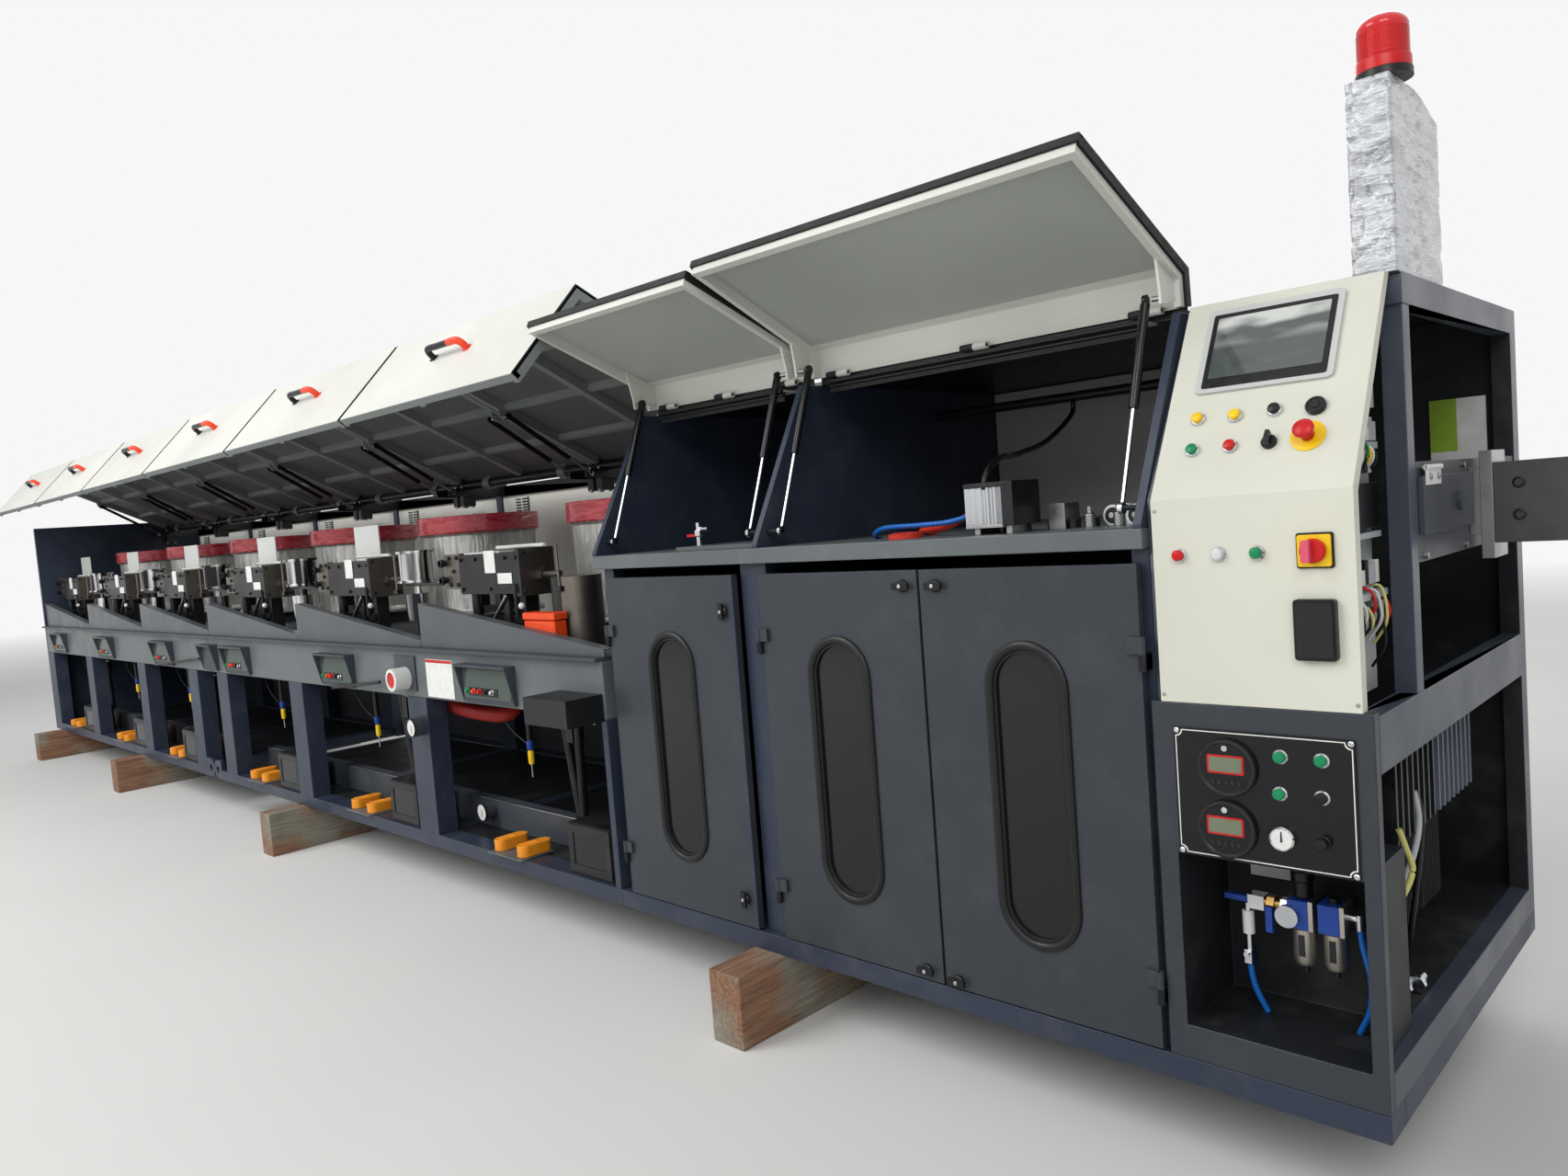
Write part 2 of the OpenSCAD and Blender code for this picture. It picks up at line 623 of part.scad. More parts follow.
// A hood: bent sheet, folded end frames, a lip at the free edge and brackets for the strut heads.
module lid(k) color(cream) place() {
    x0 = lid_spans[k][0];
    x1 = lid_spans[k][1];
    head = head_closed(k);
    translate([0, lid_hinge_y, lid_hinge_z]) rotate([-lid_angles[k], 0, 0]) {
        along_x(x0, x1) lid_profile(3);
        for (x = [x0, x1 - 24]) along_x(x, x + 24) lid_profile(lid_edge);
        along_x(x0, x1)
            polygon([lid_point(lid_panel, 0), lid_point(lid_panel, lid_edge),
                     lid_point(lid_panel - 20, lid_edge), lid_point(lid_panel - 20, 0)]);
        for (x = [lid_walls[k][0] + moving_gap, lid_walls[k][1] - moving_gap - 7])
            along_x(x, x + 7)
                polygon([[-24, lid_top - 1.5], lid_point(2, 1.5), lid_point(130, 1.5), head + [-14, -9],
                         head + [14, -9], head + [14, 10]]);
        rod_x(lid_walls[k][0] + 8, x0 + lid_inset - tube_d / 2 - moving_gap, head[0], head[1], stud_d);
        rod_x(x1 - lid_inset + tube_d / 2 + moving_gap, lid_walls[k][1] - 8, head[0], head[1], stud_d);
        for (j = [0 : lid_knuckles - 1])
            translate([lid_knuckle_x(k, j) + lid_knuckle_w + seat, 0, 0])
                difference() {
                    union() {
                        rod_x(0, lid_knuckle_w, 0, 0, lid_knuckle_d);
                        box([0, -8, 1], [lid_knuckle_w, 1, lid_top - 1]);
                    }
                    rod_x(-1, lid_knuckle_w + 1, 0, 0, lid_pin_d + 2 * seat);
                }
    }
}

// Struts are drawn along z from the foot, then turned to the line from foot to head.
module strut_place(foot, head) translate([0, foot[0], foot[1]])
    rotate([atan2(head[1] - foot[1], head[0] - foot[0]) - 90, 0, 0]) children();

module strut_rod(x, tip) {
    rotate([0, 90, 0]) translate([0, 0, x - 5])
        difference() {
            cylinder(h = 10, d = 2.2 * stud_d);
            translate([0, 0, -1]) cylinder(h = 12, d = stud_d + 2 * seat);
        }
    translate([x, 0, stud_d]) cylinder(h = tip - stud_d, d = rod_d);
}

module strut_tube(x, head, len) {
    difference() {
        translate([x, 0, head - len]) cylinder(h = len - 10, d = tube_d);
        translate([x, 0, head - len - 1]) cylinder(h = len - 30, d = rod_d + 2 * seat);
    }
    rotate([0, 90, 0]) translate([-head, 0, x - 4]) cylinder(h = 8, d = 2.2 * stud_d);
}

module lid_rods(k) color(steel) place() strut_place(lid_foot, lid_head)
    for (x = [lid_spans[k][0] + lid_inset, lid_spans[k][1] - lid_inset])
        strut_rod(x, norm(lid_head - lid_foot) - lid_tube + 40);

module lid_tubes(k) color(black) place() strut_place(lid_foot, lid_head)
    for (x = [lid_spans[k][0] + lid_inset, lid_spans[k][1] - lid_inset])
        strut_tube(x, norm(lid_head - lid_foot), lid_tube);

// Row hoods

row_head = [row_hinge_y - 516, row_hinge_z + 222];
row_head_closed = turned(row_head - [row_hinge_y, row_hinge_z], hood_open);
hood_rear = [10, 36];
hood_bend = [-hood_reach, -hood_drop];
knuckle_w = 60;

// A row hood's studs end beside the struts' tubes.
stud_reach = strut_in - hood_gap / 2 - tube_d / 2 - moving_gap;

module hood_profile(t) polygon(bent_sheet([hood_rear, hood_bend, hood_bend - [0, hood_front]], t));

module hood(i) color(cream) place() {
    x0 = -enclosure_len - i * bay_pitch + hood_gap / 2;
    x1 = x0 + bay_pitch - hood_gap;
    mid = (x0 + x1) / 2;
    translate([0, row_hinge_y, row_hinge_z]) rotate([-hood_open, 0, 0])
        difference() {
            union() {
                along_x(x0, x1) hood_profile(4);
                for (x = [[x0, x0 + 30], [mid - 20, mid + 20], [x1 - 30, x1]])
                    along_x(x[0], x[1]) hood_profile(rib_depth);
                translate([0, hood_bend[0], hood_bend[1] - hood_front]) along_x(x0, x1) square([30, 20]);
                for (x = [mid - 380, mid + 320]) rod_x(x, x + knuckle_w, 0, 0, pipe_d + 18);
                rod_x(x0 + 20, x0 + stud_reach, row_head_closed[0], row_head_closed[1], stud_d);
                rod_x(x1 - stud_reach, x1 - 20, row_head_closed[0], row_head_closed[1], stud_d);
                for (x = [x0 + 20, x1 - 28])
                    along_x(x, x + 8)
                        polygon([row_head_closed + [-14, -8], row_head_closed + [14, -8],
                                 row_head_closed + [70, 62], row_head_closed + [-70, 28]]);
                for (x = [mid - 130, mid + 112])
                    translate([x, hood_bend[0] - 45, hood_bend[1] - 190]) cube([18, 47, 18]);
                rod_x(mid - 130, mid + 130, hood_bend[0] - 45, hood_bend[1] - 181, 24);
            }
            rod_x(x0 - 1, x1 + 1, 0, 0, pipe_d + 2 * seat);
            for (x = [x0 - 1, x1 - 31]) along_x(x, x + 33) circle(r = pipe_d / 2 + 12);
            along_x(mid - 21, mid + 21) circle(r = pipe_d / 2 + moving_gap);
        }
}

module row_rods(i) color(steel) place() strut_place(row_strut_foot, row_head)
    for (x = [-strut_in, -bay_pitch + strut_in])
        translate([-enclosure_len - (i - 1) * bay_pitch, 0, 0])
            strut_rod(x, norm(row_head - row_strut_foot) - row_tube + 40);

module row_tubes(i) color(black) place() strut_place(row_strut_foot, row_head)
    for (x = [-strut_in, -bay_pitch + strut_in])
        translate([-enclosure_len - (i - 1) * bay_pitch, 0, 0])
            strut_tube(x, norm(row_head - row_strut_foot), row_tube);

// Cabinet

cab_left = -cabinet_w;
rail_w = 45;
panel_x = [cab_left + 22, -18];
panel_slope = atan2(cabinet_h - panel_bend_z, roof_y);

module control_panel() color(cream) place()
    difference() {
        along_x(panel_x[0], panel_x[1])
            polygon([[0, panel_z], [0, panel_bend_z], [roof_y, cabinet_h], [roof_y + 28, cabinet_h],
                     [28, panel_bend_z - 8], [28, panel_z]]);
        along_x(panel_x[0] + sheet_t, panel_x[1] - sheet_t)
            polygon([[sheet_t, panel_z - 1], [sheet_t, panel_bend_z - 1], [roof_y + sheet_t, cabinet_h + 1],
                     [roof_y + 80, cabinet_h + 1], [80, panel_bend_z - 8], [80, panel_z - 1]]);
    }

// Open framing of the cabinet: left side plate, right side posts and rails, and the top plate.
module cabinet_frame() color(navy) place() {
    along_x(cab_left, cab_left + 12)
        polygon([[30, sill_h], [depth, sill_h], [depth, cabinet_h - 4], [roof_y + 40, cabinet_h - 4],
                 [30, panel_bend_z]]);
    box([cab_left, roof_y + 28, cabinet_h - 4], [0, depth, cabinet_h]);
    box([-rail_w, 30, panel_z - 119], [0, depth, panel_z - 9]);
    box([-rail_w, 30, sill_h], [0, depth, sill_h + 71]);
    box([-rail_w, depth - 60, sill_h], [0, depth, cabinet_h - 4]);
    box([-rail_w, roof_y + 47, panel_z - 9], [-3, roof_y + 95, cabinet_h - 4]);
    box([-rail_w, roof_y + 38, cabinet_h - 62], [0, depth, cabinet_h - 4]);
    box([cab_left, depth - rear_t, sill_h], [0, depth, cabinet_h - 4]);
}

recess_z = [130, 500];
recess_x = [-388, -30];
recess_deep = 240;
drive_y = [360, 560, 760];
drive_z = sill_h + 125;

// Lower front of the cabinet, with the recess for the air unit.
module cabinet_front() color(navy) place()
    difference() {
        union() {
            box([cab_left, 0, sill_h], [0, 30, panel_z]);
            box([recess_x[0] - 4, 0, recess_z[0] - 4], [recess_x[1] + 4, recess_deep + 4, recess_z[1] + 4]);
        }
        box([recess_x[0], -1, recess_z[0]], [recess_x[1], recess_deep, recess_z[1]]);
    }

// Finned drive units on the mounting plate inside the cabinet.
module drive_modules() color(graphite) place() {
    box([cab_left + 12, drive_y[0] - 30, sill_h + 60], [cab_left + 20, depth - 95, panel_z - 139]);
    for (y = drive_y)
        translate([cab_left + 20, y, drive_z]) {
            cube([230, 170, 420]);
            for (k = [0 : 10]) translate([230, 5 + k * 15.5, 10]) cube([45, 5, 400]);
        }
}

// Places a child on the cream sheet's slanted part: x across, s up the slope from the bend.
module on_slope(x, s) translate([x, 0, panel_bend_z]) rotate([panel_slope, 0, 0])
    translate([0, s, 0]) children();

module on_front(x, z) translate([x, 0, z]) rotate([90, 0, 0]) children();
module button(d, h) {
    cylinder(h = 6, d = bezel_d);
    cylinder(h = h, d = d);
}

gauge_at = [[-273, 711], [-279, 567]];

module panel_controls() color(black) place() {
    on_slope(-218, 348) translate([-136, -104, 0]) cube([272, 208, 9]);
    for (p = [[-337, 184], [-260, 182], [-183, 185], [-105, 182], [-336, 110], [-259, 111], [-183, 112]])
        on_slope(p[0], p[1]) button(22, 16);
    on_slope(-112, 118) {
        cylinder(h = 3, d = 66);
        button(26, 24);
        translate([0, 0, 24]) cylinder(h = 12, d = 40);
    }
    for (x = [-351, -270, -195]) on_front(x, 1123) button(22, 16);
    on_front(-88, 1124) {
        translate([-isolator_s / 2, -isolator_s / 2, 0]) cube([isolator_s, isolator_s, 10]);
        cylinder(h = 34, d = 46);
    }
    on_front(-91, 975) translate([-38, -58, 0]) cube([76, 116, 18]);
    on_front(-208, 636) translate([-175, -133, 0]) cube([350, 266, 4]);
    for (p = gauge_at) on_front(p[0], p[1]) translate([0, 0, 4]) cylinder(h = 14, d = gauge_d);
    for (p = [[-170, 725], [-94, 725], [-174, 652], [-96, 653]])
        on_front(p[0], p[1]) translate([0, 0, 4]) button(22, 14);
    on_front(-171, 565) translate([0, 0, 4]) cylinder(h = 14, d = 49);
    on_front(-96, 567) translate([0, 0, 4]) cylinder(h = 24, d = 24);
}

module air_unit() color(steel) place() {
    for (x = [-190, -130]) {
        translate([x, 140, 260]) cylinder(h = 80, d = 46);
        box([x - 26, 110, 340], [x + 26, 170, 400]);
        box([x - 8, 170, 360], [x + 8, recess_deep, 380]);
    }
    box([-320, 125, 360], [-216, 155, 390]);
    box([-104, 125, 360], [-80, 155, 390]);
}

tower_y = roof_y + 19;
lamp_at = [-tower_w / 2 + 17, tower_y + 58];

// The wrapped tower box: its top falls away to the back behind the lamp.
module tower_box() color(cream) place()
    along_x(-tower_w, 0)
        polygon([[tower_y, cabinet_h], [tower_y + tower_deep, cabinet_h],
                 [tower_y + tower_deep, cabinet_h + tower_h - 42],
                 [tower_y + tower_deep * 0.55, cabinet_h + tower_h], [tower_y, cabinet_h + tower_h]]);

// The red lamp on its round foot, with a domed top.
lamp_h = 128;
dome_d = 120;

module beacon() color("red") place()
    translate([lamp_at[0], lamp_at[1], cabinet_h + tower_h]) {
        cylinder(h = 40, d = beacon_d);
        cylinder(h = lamp_h - 28, d = beacon_d - 10);
        intersection() {
            translate([0, 0, lamp_h - dome_d / 2]) sphere(d = dome_d);
            cylinder(h = lamp_h + 1, d = beacon_d - 10);
        }
    }

inlet_y = 812;
inlet_z = 1172;
wire_bore_r = 12;
block_half = 62;

// The wire comes in through a steel block bolted to the flange beside the cover plate.
module wire_inlet() color(steel) place() {
    box([-3 + seat, roof_y + 105, inlet_z - 47], [8, inlet_y - block_half - 5, inlet_z + 73]);
    difference() {
        union() {
            box([-14, roof_y + 95, inlet_z - 102], [-3, depth - 60, inlet_z + 103]);
            box([-3 + seat, inlet_y - block_half, inlet_z - 72], [20, inlet_y + block_half, inlet_z + 83]);
            box([20 + seat, inlet_y - block_half - 2, inlet_z - 127],
                [46, inlet_y + block_half + 2, inlet_z + 118]);
            box([46 + seat, inlet_y - block_half, inlet_z - 92], [240, inlet_y + block_half, inlet_z + 90]);
        }
        rod_x(-15, 241, inlet_y, inlet_z, 2 * wire_bore_r);
    }
}

timber_blocks();
base_sills();
cross_members();
frame_posts();
front_beams();
rear_panels();
deck_plates();
sawtooth_plates();
drum_pedestals();
die_stations();
hinge_rail();
vent_panels();
bay_fittings();
foot_pedals();
side_walls();
shelf_and_roof();
take_in_gear();
hinge_studs();
control_panel();
cabinet_frame();
cabinet_front();
drive_modules();
panel_controls();
air_unit();
tower_box();
beacon();
wire_inlet();
door(0);  // door_1
door(1);  // door_2
door(2);  // door_3
lid(0);  // small_hood
lid_rods(0);  // small_hood_rods
lid_tubes(0);  // small_hood_tubes
lid(1);  // large_hood
lid_rods(1);  // large_hood_rods
lid_tubes(1);  // large_hood_tubes
hood(1);  // hood_1
hood(2);  // hood_2
hood(3);  // hood_3
hood(4);  // hood_4
hood(5);  // hood_5
hood(6);  // hood_6
row_rods(1);  // rods_1
row_rods(2);  // rods_2
row_rods(3);  // rods_3
row_rods(4);  // rods_4
row_rods(5);  // rods_5
row_rods(6);  // rods_6
row_tubes(1);  // tubes_1
row_tubes(2);  // tubes_2
row_tubes(3);  // tubes_3
row_tubes(4);  // tubes_4
row_tubes(5);  // tubes_5
row_tubes(6);  // tubes_6
drum(1);  // drum_1
drum(2);  // drum_2
drum(3);  // drum_3
drum(4);  // drum_4
drum(5);  // drum_5
drum(6);  // drum_6
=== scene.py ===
import json
import math
import bmesh
import bpy
import numpy as np
from mathutils import Matrix, Vector


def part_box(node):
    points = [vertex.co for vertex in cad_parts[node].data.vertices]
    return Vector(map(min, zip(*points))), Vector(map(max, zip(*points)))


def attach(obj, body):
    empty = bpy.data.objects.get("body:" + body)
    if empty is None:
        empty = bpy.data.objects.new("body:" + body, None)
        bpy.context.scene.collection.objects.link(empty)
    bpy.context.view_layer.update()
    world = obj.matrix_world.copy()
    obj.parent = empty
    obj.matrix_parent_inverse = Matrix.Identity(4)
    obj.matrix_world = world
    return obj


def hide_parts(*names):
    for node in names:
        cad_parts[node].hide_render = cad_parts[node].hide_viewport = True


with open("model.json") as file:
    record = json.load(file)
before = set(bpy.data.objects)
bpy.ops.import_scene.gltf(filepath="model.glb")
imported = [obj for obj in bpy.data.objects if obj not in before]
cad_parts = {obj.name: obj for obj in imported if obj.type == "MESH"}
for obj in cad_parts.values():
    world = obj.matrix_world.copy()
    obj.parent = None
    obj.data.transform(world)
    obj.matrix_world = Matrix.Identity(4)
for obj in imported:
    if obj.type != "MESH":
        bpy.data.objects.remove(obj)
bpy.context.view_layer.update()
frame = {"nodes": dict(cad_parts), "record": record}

# The machine's own corner: right side of the cabinet, its front, and the underside of the steel base.
# Every place below is in millimetres from that corner, with the row running towards -x.
corner = np.array([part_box("cabinet_frame")[1][0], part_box("cabinet_front")[0][1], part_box("base_sills")[0][2]])

# Camera and studio
# The photograph was taken from in front of the cabinet at eye height, with a wide lens, looking
# down the row. Floor and world are one pale tone; three soft lamps give the steel its form.
camera_place = corner + [.6394, -2.1558, 1.2615]
camera_right = Vector((.71393, .69598, -.07723))
camera_up = Vector((.01049, .09965, .99497))
camera = bpy.data.objects.new("camera", bpy.data.cameras.new("camera"))
bpy.context.scene.collection.objects.link(camera)
camera.data.lens = 25.24
camera.data.sensor_width = 36
axes = Matrix((camera_right, camera_up, camera_right.cross(camera_up))).transposed()
camera.matrix_world = Matrix.Translation(camera_place) @ axes.to_4x4()
bpy.context.scene.camera = camera
bpy.context.scene.view_settings.view_transform = "Standard"


def lamp(name, place, towards, size, watts):
    """A square soft lamp of a given side in metres, at a point, facing another point."""
    light = bpy.data.lights.new(name, "AREA")
    light.shape = "SQUARE"
    light.size = size
    light.energy = watts
    holder = bpy.data.objects.new(name, light)
    bpy.context.scene.collection.objects.link(holder)
    aim = Vector(towards) - Vector(place)
    holder.matrix_world = Matrix.Translation(place) @ aim.to_track_quat("-Z", "Y").to_matrix().to_4x4()


lamp("key", corner + [2.5, -5.5, 5.5], corner + [-1.5, 0, .8], 4, 240)
lamp("row_light", corner + [-6, -6, 6], corner + [-7, .5, .8], 6, 560)
lamp("back_light", corner + [-4, 7, 6], corner + [-4, 0, 1], 6, 220)


class Value:
    """A number that changes over a surface. Arithmetic on it adds Math nodes to its material."""

    def __init__(self, finish, socket):
        self.finish = finish
        self.socket = socket

    def math(self, operation, a, b):
        return self.finish.node("Math", {"operation": operation}, a, b)

    def __add__(self, other):
        return self.math("ADD", self, other)

    def __sub__(self, other):
        return self.math("SUBTRACT", self, other)

    def __rsub__(self, other):
        return self.math("SUBTRACT", other, self)

    def __mul__(self, other):
        return self.math("MULTIPLY", self, other)


def linear(srgb):
    """A colour from its 0 to 255 screen values to linear light: ((c + .055) / 1.055) ** 2.4, or c / 12.92 if dark."""
    c = np.clip(np.array(srgb) / 255, 0, 1)
    return tuple(np.where(c > .04045, ((c + .055) / 1.055) ** 2.4, c / 12.92)) + (1.0,)


class Finish:
    """A material being made: its Principled shader, and the one method that adds every other node."""

    def __init__(self, name, srgb, roughness, metallic=0.0, **sockets):
        self.material = bpy.data.materials.new(name)
        self.material.use_nodes = True
        self.tree = self.material.node_tree
        self.shader = self.tree.nodes["Principled BSDF"]
        self.colour = linear(srgb)
        self.set(Base_Color=self.colour, Roughness=roughness, Metallic=metallic, **sockets)

    def feed(self, socket, value):
        """Links a value to a socket, or writes a plain number or colour on it."""
        if isinstance(value, Value):
            self.tree.links.new(value.socket, socket)
        else:
            socket.default_value = value

    def set(self, **sockets):
        """Sets the shader's own sockets, named with underscores for spaces."""
        for name, value in sockets.items():
            self.feed(self.shader.inputs[name.replace("_", " ")], value)
        return self

    def node(self, kind, settings, *values, output=None, **named):
        """Adds a node of a kind: settings first, then sockets in order or by name. Gives one output."""
        made = self.tree.nodes.new("ShaderNode" + kind)
        for name, setting in settings.items():
            setattr(made, name, setting)
        sockets = [s for s in made.inputs if s.enabled]
        for socket, value in zip(sockets, values):
            self.feed(socket, value)
        for name, value in named.items():
            self.feed(next(s for s in sockets if s.name == name.replace("_", " ")), value)
        outputs = [s for s in made.outputs if s.enabled]
        return Value(self, next(s for s in outputs if s.name == output) if output else outputs[0])

    def where(self, stretch=(1, 1, 1), turn=(0, 0, 0)):
        """The point on the piece in metres, turned, then stretched along each axis."""
        point = self.node("TexCoord", {}, output="Object")
        return self.node("Mapping", {}, Vector=point, Scale=stretch, Rotation=turn)

    def noise(self, scale, detail=2.0, stretch=(1, 1, 1), roughness=.5, turn=(0, 0, 0)):
        """Cloudy noise from 0 to 1 with a number of patches to the metre."""
        return self.node("TexNoise", {}, Vector=self.where(stretch, turn), Scale=scale, Detail=detail,
                         Roughness=roughness)

    def crease(self, scale, stretch, turn=(0, 0, 0)):
        """Sharp folds from 0 to 1: one minus the distance of a noise from its middle, twice over."""
        n = self.noise(scale, 3, stretch, .6, turn) * 2.0 - 1.0
        return 1.0 - self.node("Math", {"operation": "ABSOLUTE"}, n) * 2.6

    def mix(self, factor, a, b):
        """One colour over another."""
        return self.node("Mix", {"data_type": "RGBA"}, factor, a, b)

    def between(self, value, low, high, to_low=0.0, to_high=1.0):
        """Stretches a value's range, clamped at both ends."""
        return self.node("MapRange", {}, value, low, high, to_low, to_high)

    def bump(self, height, distance, strength=1.0):
        """Relief: a height from 0 to 1 over a distance in metres."""
        relief = self.node("Bump", {}, Height=height, Distance=distance, Strength=strength)
        return self.set(Normal=relief)


# Floor and light
# A pale painted floor that keeps the machine's shadow and fades into the sky's own tone far off, under
# an even pale sky that metal and glass see as well as the camera.
floor_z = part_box("timber_blocks")[0][2]
floor_half = 60
floor_mesh = bpy.data.meshes.new("floor")
floor_mesh.from_pydata([(x * floor_half, y * floor_half, floor_z) for x, y in ((-1, -1), (1, -1), (1, 1), (-1, 1))],
                       [], [(0, 1, 2, 3)])
floor = bpy.data.objects.new("floor", floor_mesh)
bpy.context.scene.collection.objects.link(floor)
f = Finish("studio_floor", (222, 221, 218), .75, Specular_IOR_Level=.2)
f.set(Base_Color=f.mix(f.noise(.8, 3), linear((217, 216, 213)), linear((227, 226, 223))))
away = f.node("VectorMath", {"operation": "LENGTH"}, f.where((.55, 1, 1)), output="Value")
far = f.node("Emission", {}, (.93, .93, .93, 1), 1)
blend = f.node("MixShader", {}, f.between(away, 6.5, 16), Value(f, f.shader.outputs[0]), far)
f.tree.links.new(blend.socket, f.tree.nodes["Material Output"].inputs["Surface"])
floor_mesh.materials.append(f.material)

world = bpy.data.worlds.new("studio")
world.use_nodes = True
bpy.context.scene.world = world
tree = world.node_tree
lit = tree.nodes["Background"]
path, seen, choice, either, both = (tree.nodes.new("ShaderNode" + kind) for kind in (
    "LightPath", "Background", "MixShader", "Math", "Math"))
either.operation = both.operation = "MAXIMUM"
for light, colour, strength in ((lit, (.90, .92, .95, 1), .50), (seen, (.93, .93, .93, 1), 1)):
    light.inputs["Color"].default_value = colour
    light.inputs["Strength"].default_value = strength
for source, socket in ((path.outputs["Is Camera Ray"], either.inputs[0]),
                       (path.outputs["Is Glossy Ray"], either.inputs[1]),
                       (path.outputs["Is Transmission Ray"], both.inputs[1]),
                       (either.outputs[0], both.inputs[0]),
                       (both.outputs[0], choice.inputs[0]), (lit.outputs[0], choice.inputs[1]),
                       (seen.outputs[0], choice.inputs[2]),
                       (choice.outputs[0], tree.nodes["World Output"].inputs["Surface"])):
    tree.links.new(source, socket)

# Timber blocks
# Four sawn hardwood sleepers carry the steel base, left over from shipping: long grain, saw marks,
# weathered grey-green on top and red-brown on the fresh cuts.
node_body = {n: b for b, nodes in frame["record"]["behaviour"]["bodies"].items() for n in nodes}


def finish_piece(name, mesh, body, bevel, replaced):
    """Puts a mesh in the scene: smooth over its round parts, edges rounded by bevel mm, on its body."""
    mesh.shade_smooth()
    mesh.set_sharp_from_angle(angle=math.radians(32))
    made = bpy.data.objects.new(name, mesh)
    bpy.context.scene.collection.objects.link(made)
    if bevel:
        edge = made.modifiers.new("edge", "BEVEL")
        edge.width = bevel / 1000
        edge.segments = 2
        edge.limit_method = "ANGLE"
        edge.angle_limit = math.radians(40)
        edge.harden_normals = True
    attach(made, body)
    if replaced:
        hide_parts(*replaced)
    return made


def dressed(node, materials, pick=None, bevel=1.5):
    """A CAD node's look: a copy of its mesh, merged and with flat faces joined. pick(places, normals) gives each
    face's material number from its centre in mm and its normal."""
    shell = bmesh.new()
    shell.from_mesh(frame["nodes"][node].data)
    bmesh.ops.remove_doubles(shell, verts=shell.verts, dist=1e-5)
    bmesh.ops.dissolve_limit(shell, angle_limit=.01, verts=shell.verts, edges=shell.edges)
    mesh = bpy.data.meshes.new(node + "_finish")
    shell.to_mesh(mesh)
    shell.free()
    mesh.materials.clear()
    for material in materials:
        mesh.materials.append(material)
    count = len(mesh.polygons)
    if pick:
        places, normals = np.empty(count * 3), np.empty(count * 3)
        mesh.polygons.foreach_get("center", places)
        mesh.polygons.foreach_get("normal", normals)
        chosen = pick((places.reshape(-1, 3) - corner) * 1000, normals.reshape(-1, 3)).astype(int)
    else:
        chosen = np.zeros(count, int)
    mesh.polygons.foreach_set("material_index", chosen)
    return finish_piece(node + "_finish", mesh, node_body[node], bevel, [node])


f = Finish("weathered_timber", (120, 88, 66), .8)
grain = f.noise(7, 6, (14, .8, 14), .65)
saw = f.noise(60, 2, (.3, 4, .3))
fresh = f.mix(f.between(grain, .3, .7), linear((92, 62, 46)), linear((158, 118, 90)))
grey = f.mix(f.between(grain, .3, .7), linear((104, 100, 88)), linear((150, 146, 130)))
f.set(Base_Color=f.mix(f.between(f.noise(3.4, 4), .44, .60), fresh, grey))
f.set(Roughness=f.between(grain, .2, .8, .68, .92)).bump(grain * .7 + saw * .3, .005)
dressed("timber_blocks", [f.material], bevel=5)


# Steel base
# Long channel sills with cross members and wide posts, welded from plate, with lifting eyes at the
# section joint, and sprayed dark blue.
def painted(name, srgb, roughness=.38, dust=.10, peel=.00012):
    """Sprayed paint: slow shifts of tone, thin dust in patches, and the fine orange peel of the coat."""
    f = Finish(name, srgb, roughness, Specular_IOR_Level=.3)
    dark = linear(np.array(srgb) * .90)
    light = linear(np.array(srgb) * 1.07 + 3)
    tone = f.mix(f.noise(1.7, 3), dark, light)
    patches = f.between(f.noise(7, 6, roughness=.65), .5, .8, 0, dust)
    f.set(Base_Color=f.mix(patches, tone, linear((150, 146, 138))))
    f.set(Roughness=f.between(f.noise(5, 4), .3, .75, roughness - .07, roughness + .10) + patches)
    f.bump(f.noise(420, 1), peel)
    return f.material


navy = painted("navy_paint", (44, 52, 68), .36)
graphite = painted("graphite_paint", (58, 62, 68), .40)
for node in ("base_sills", "cross_members", "frame_posts"):
    dressed(node, [navy], bevel=2)

# Deck and beams
# The drawing deck: folded grey front beam, thick deck plates, and a sawtooth of folded plates that
# rises to the left in front of each drum. Rear panels close the base.
beam_grey = painted("beam_paint", (92, 97, 99), .34, .16)
tooth_grey = painted("tooth_paint", (78, 82, 86), .36, .14)
dressed("front_beams", [beam_grey], bevel=4)
dressed("sawtooth_plates", [tooth_grey], bevel=1.5)
for node in ("deck_plates", "rear_panels", "drum_pedestals"):
    dressed(node, [graphite], bevel=2)

# Drums
# Water-cooled cast drums, machined bright and wrapped in stretch film for the road, with the rim
# band under red film.
deck_z = 844
drum_top = deck_z + 60 + 485
rim_z = drum_top - 84


def film(name, srgb, fold_whitening_and_highlight, roughness=.22, metallic=.0, turn=(0, .5, 0), run=(1, 1, 5)):
    """Stretch film: pale streaks on sharp folds that run one way over the piece, over the colour beneath. The streaks
    are partly the film's own whitening and partly painted highlight.
    """
    f = Finish(name, srgb, roughness, metallic, Coat_Weight=.5)
    folds = f.crease(5, run, turn)
    fine = f.crease(19, run, (0, -turn[1], .6))
    height = f.between(folds, 0, 1) * .7 + f.between(fine, 0, 1) * .3
    tone = f.mix(f.noise(6, 4), linear(np.array(srgb) * .72), linear(np.array(srgb) * 1.12))
    f.set(Base_Color=f.mix(f.between(height, .45, 1, 0, .6), tone, linear(fold_whitening_and_highlight)))
    f.set(Roughness=f.between(height, 0, 1, roughness, roughness + .2))
    f.bump(height, .006)
    return f.material


# The pale streaks on the folds of both films are partly painted highlight.
wrapped_red = film("red_film", (186, 14, 36), (226, 96, 108), .16)
wrapped_steel = film("clear_film_on_steel", (190, 190, 186), (228, 226, 220), .26, .6, (0, .1, 0), (1.6, 1.6, .3))
for i in range(1, 7):
    dressed(f"drum_{i}", [wrapped_steel, wrapped_red], lambda place, normal: place[:, 2] > rim_z, 3)
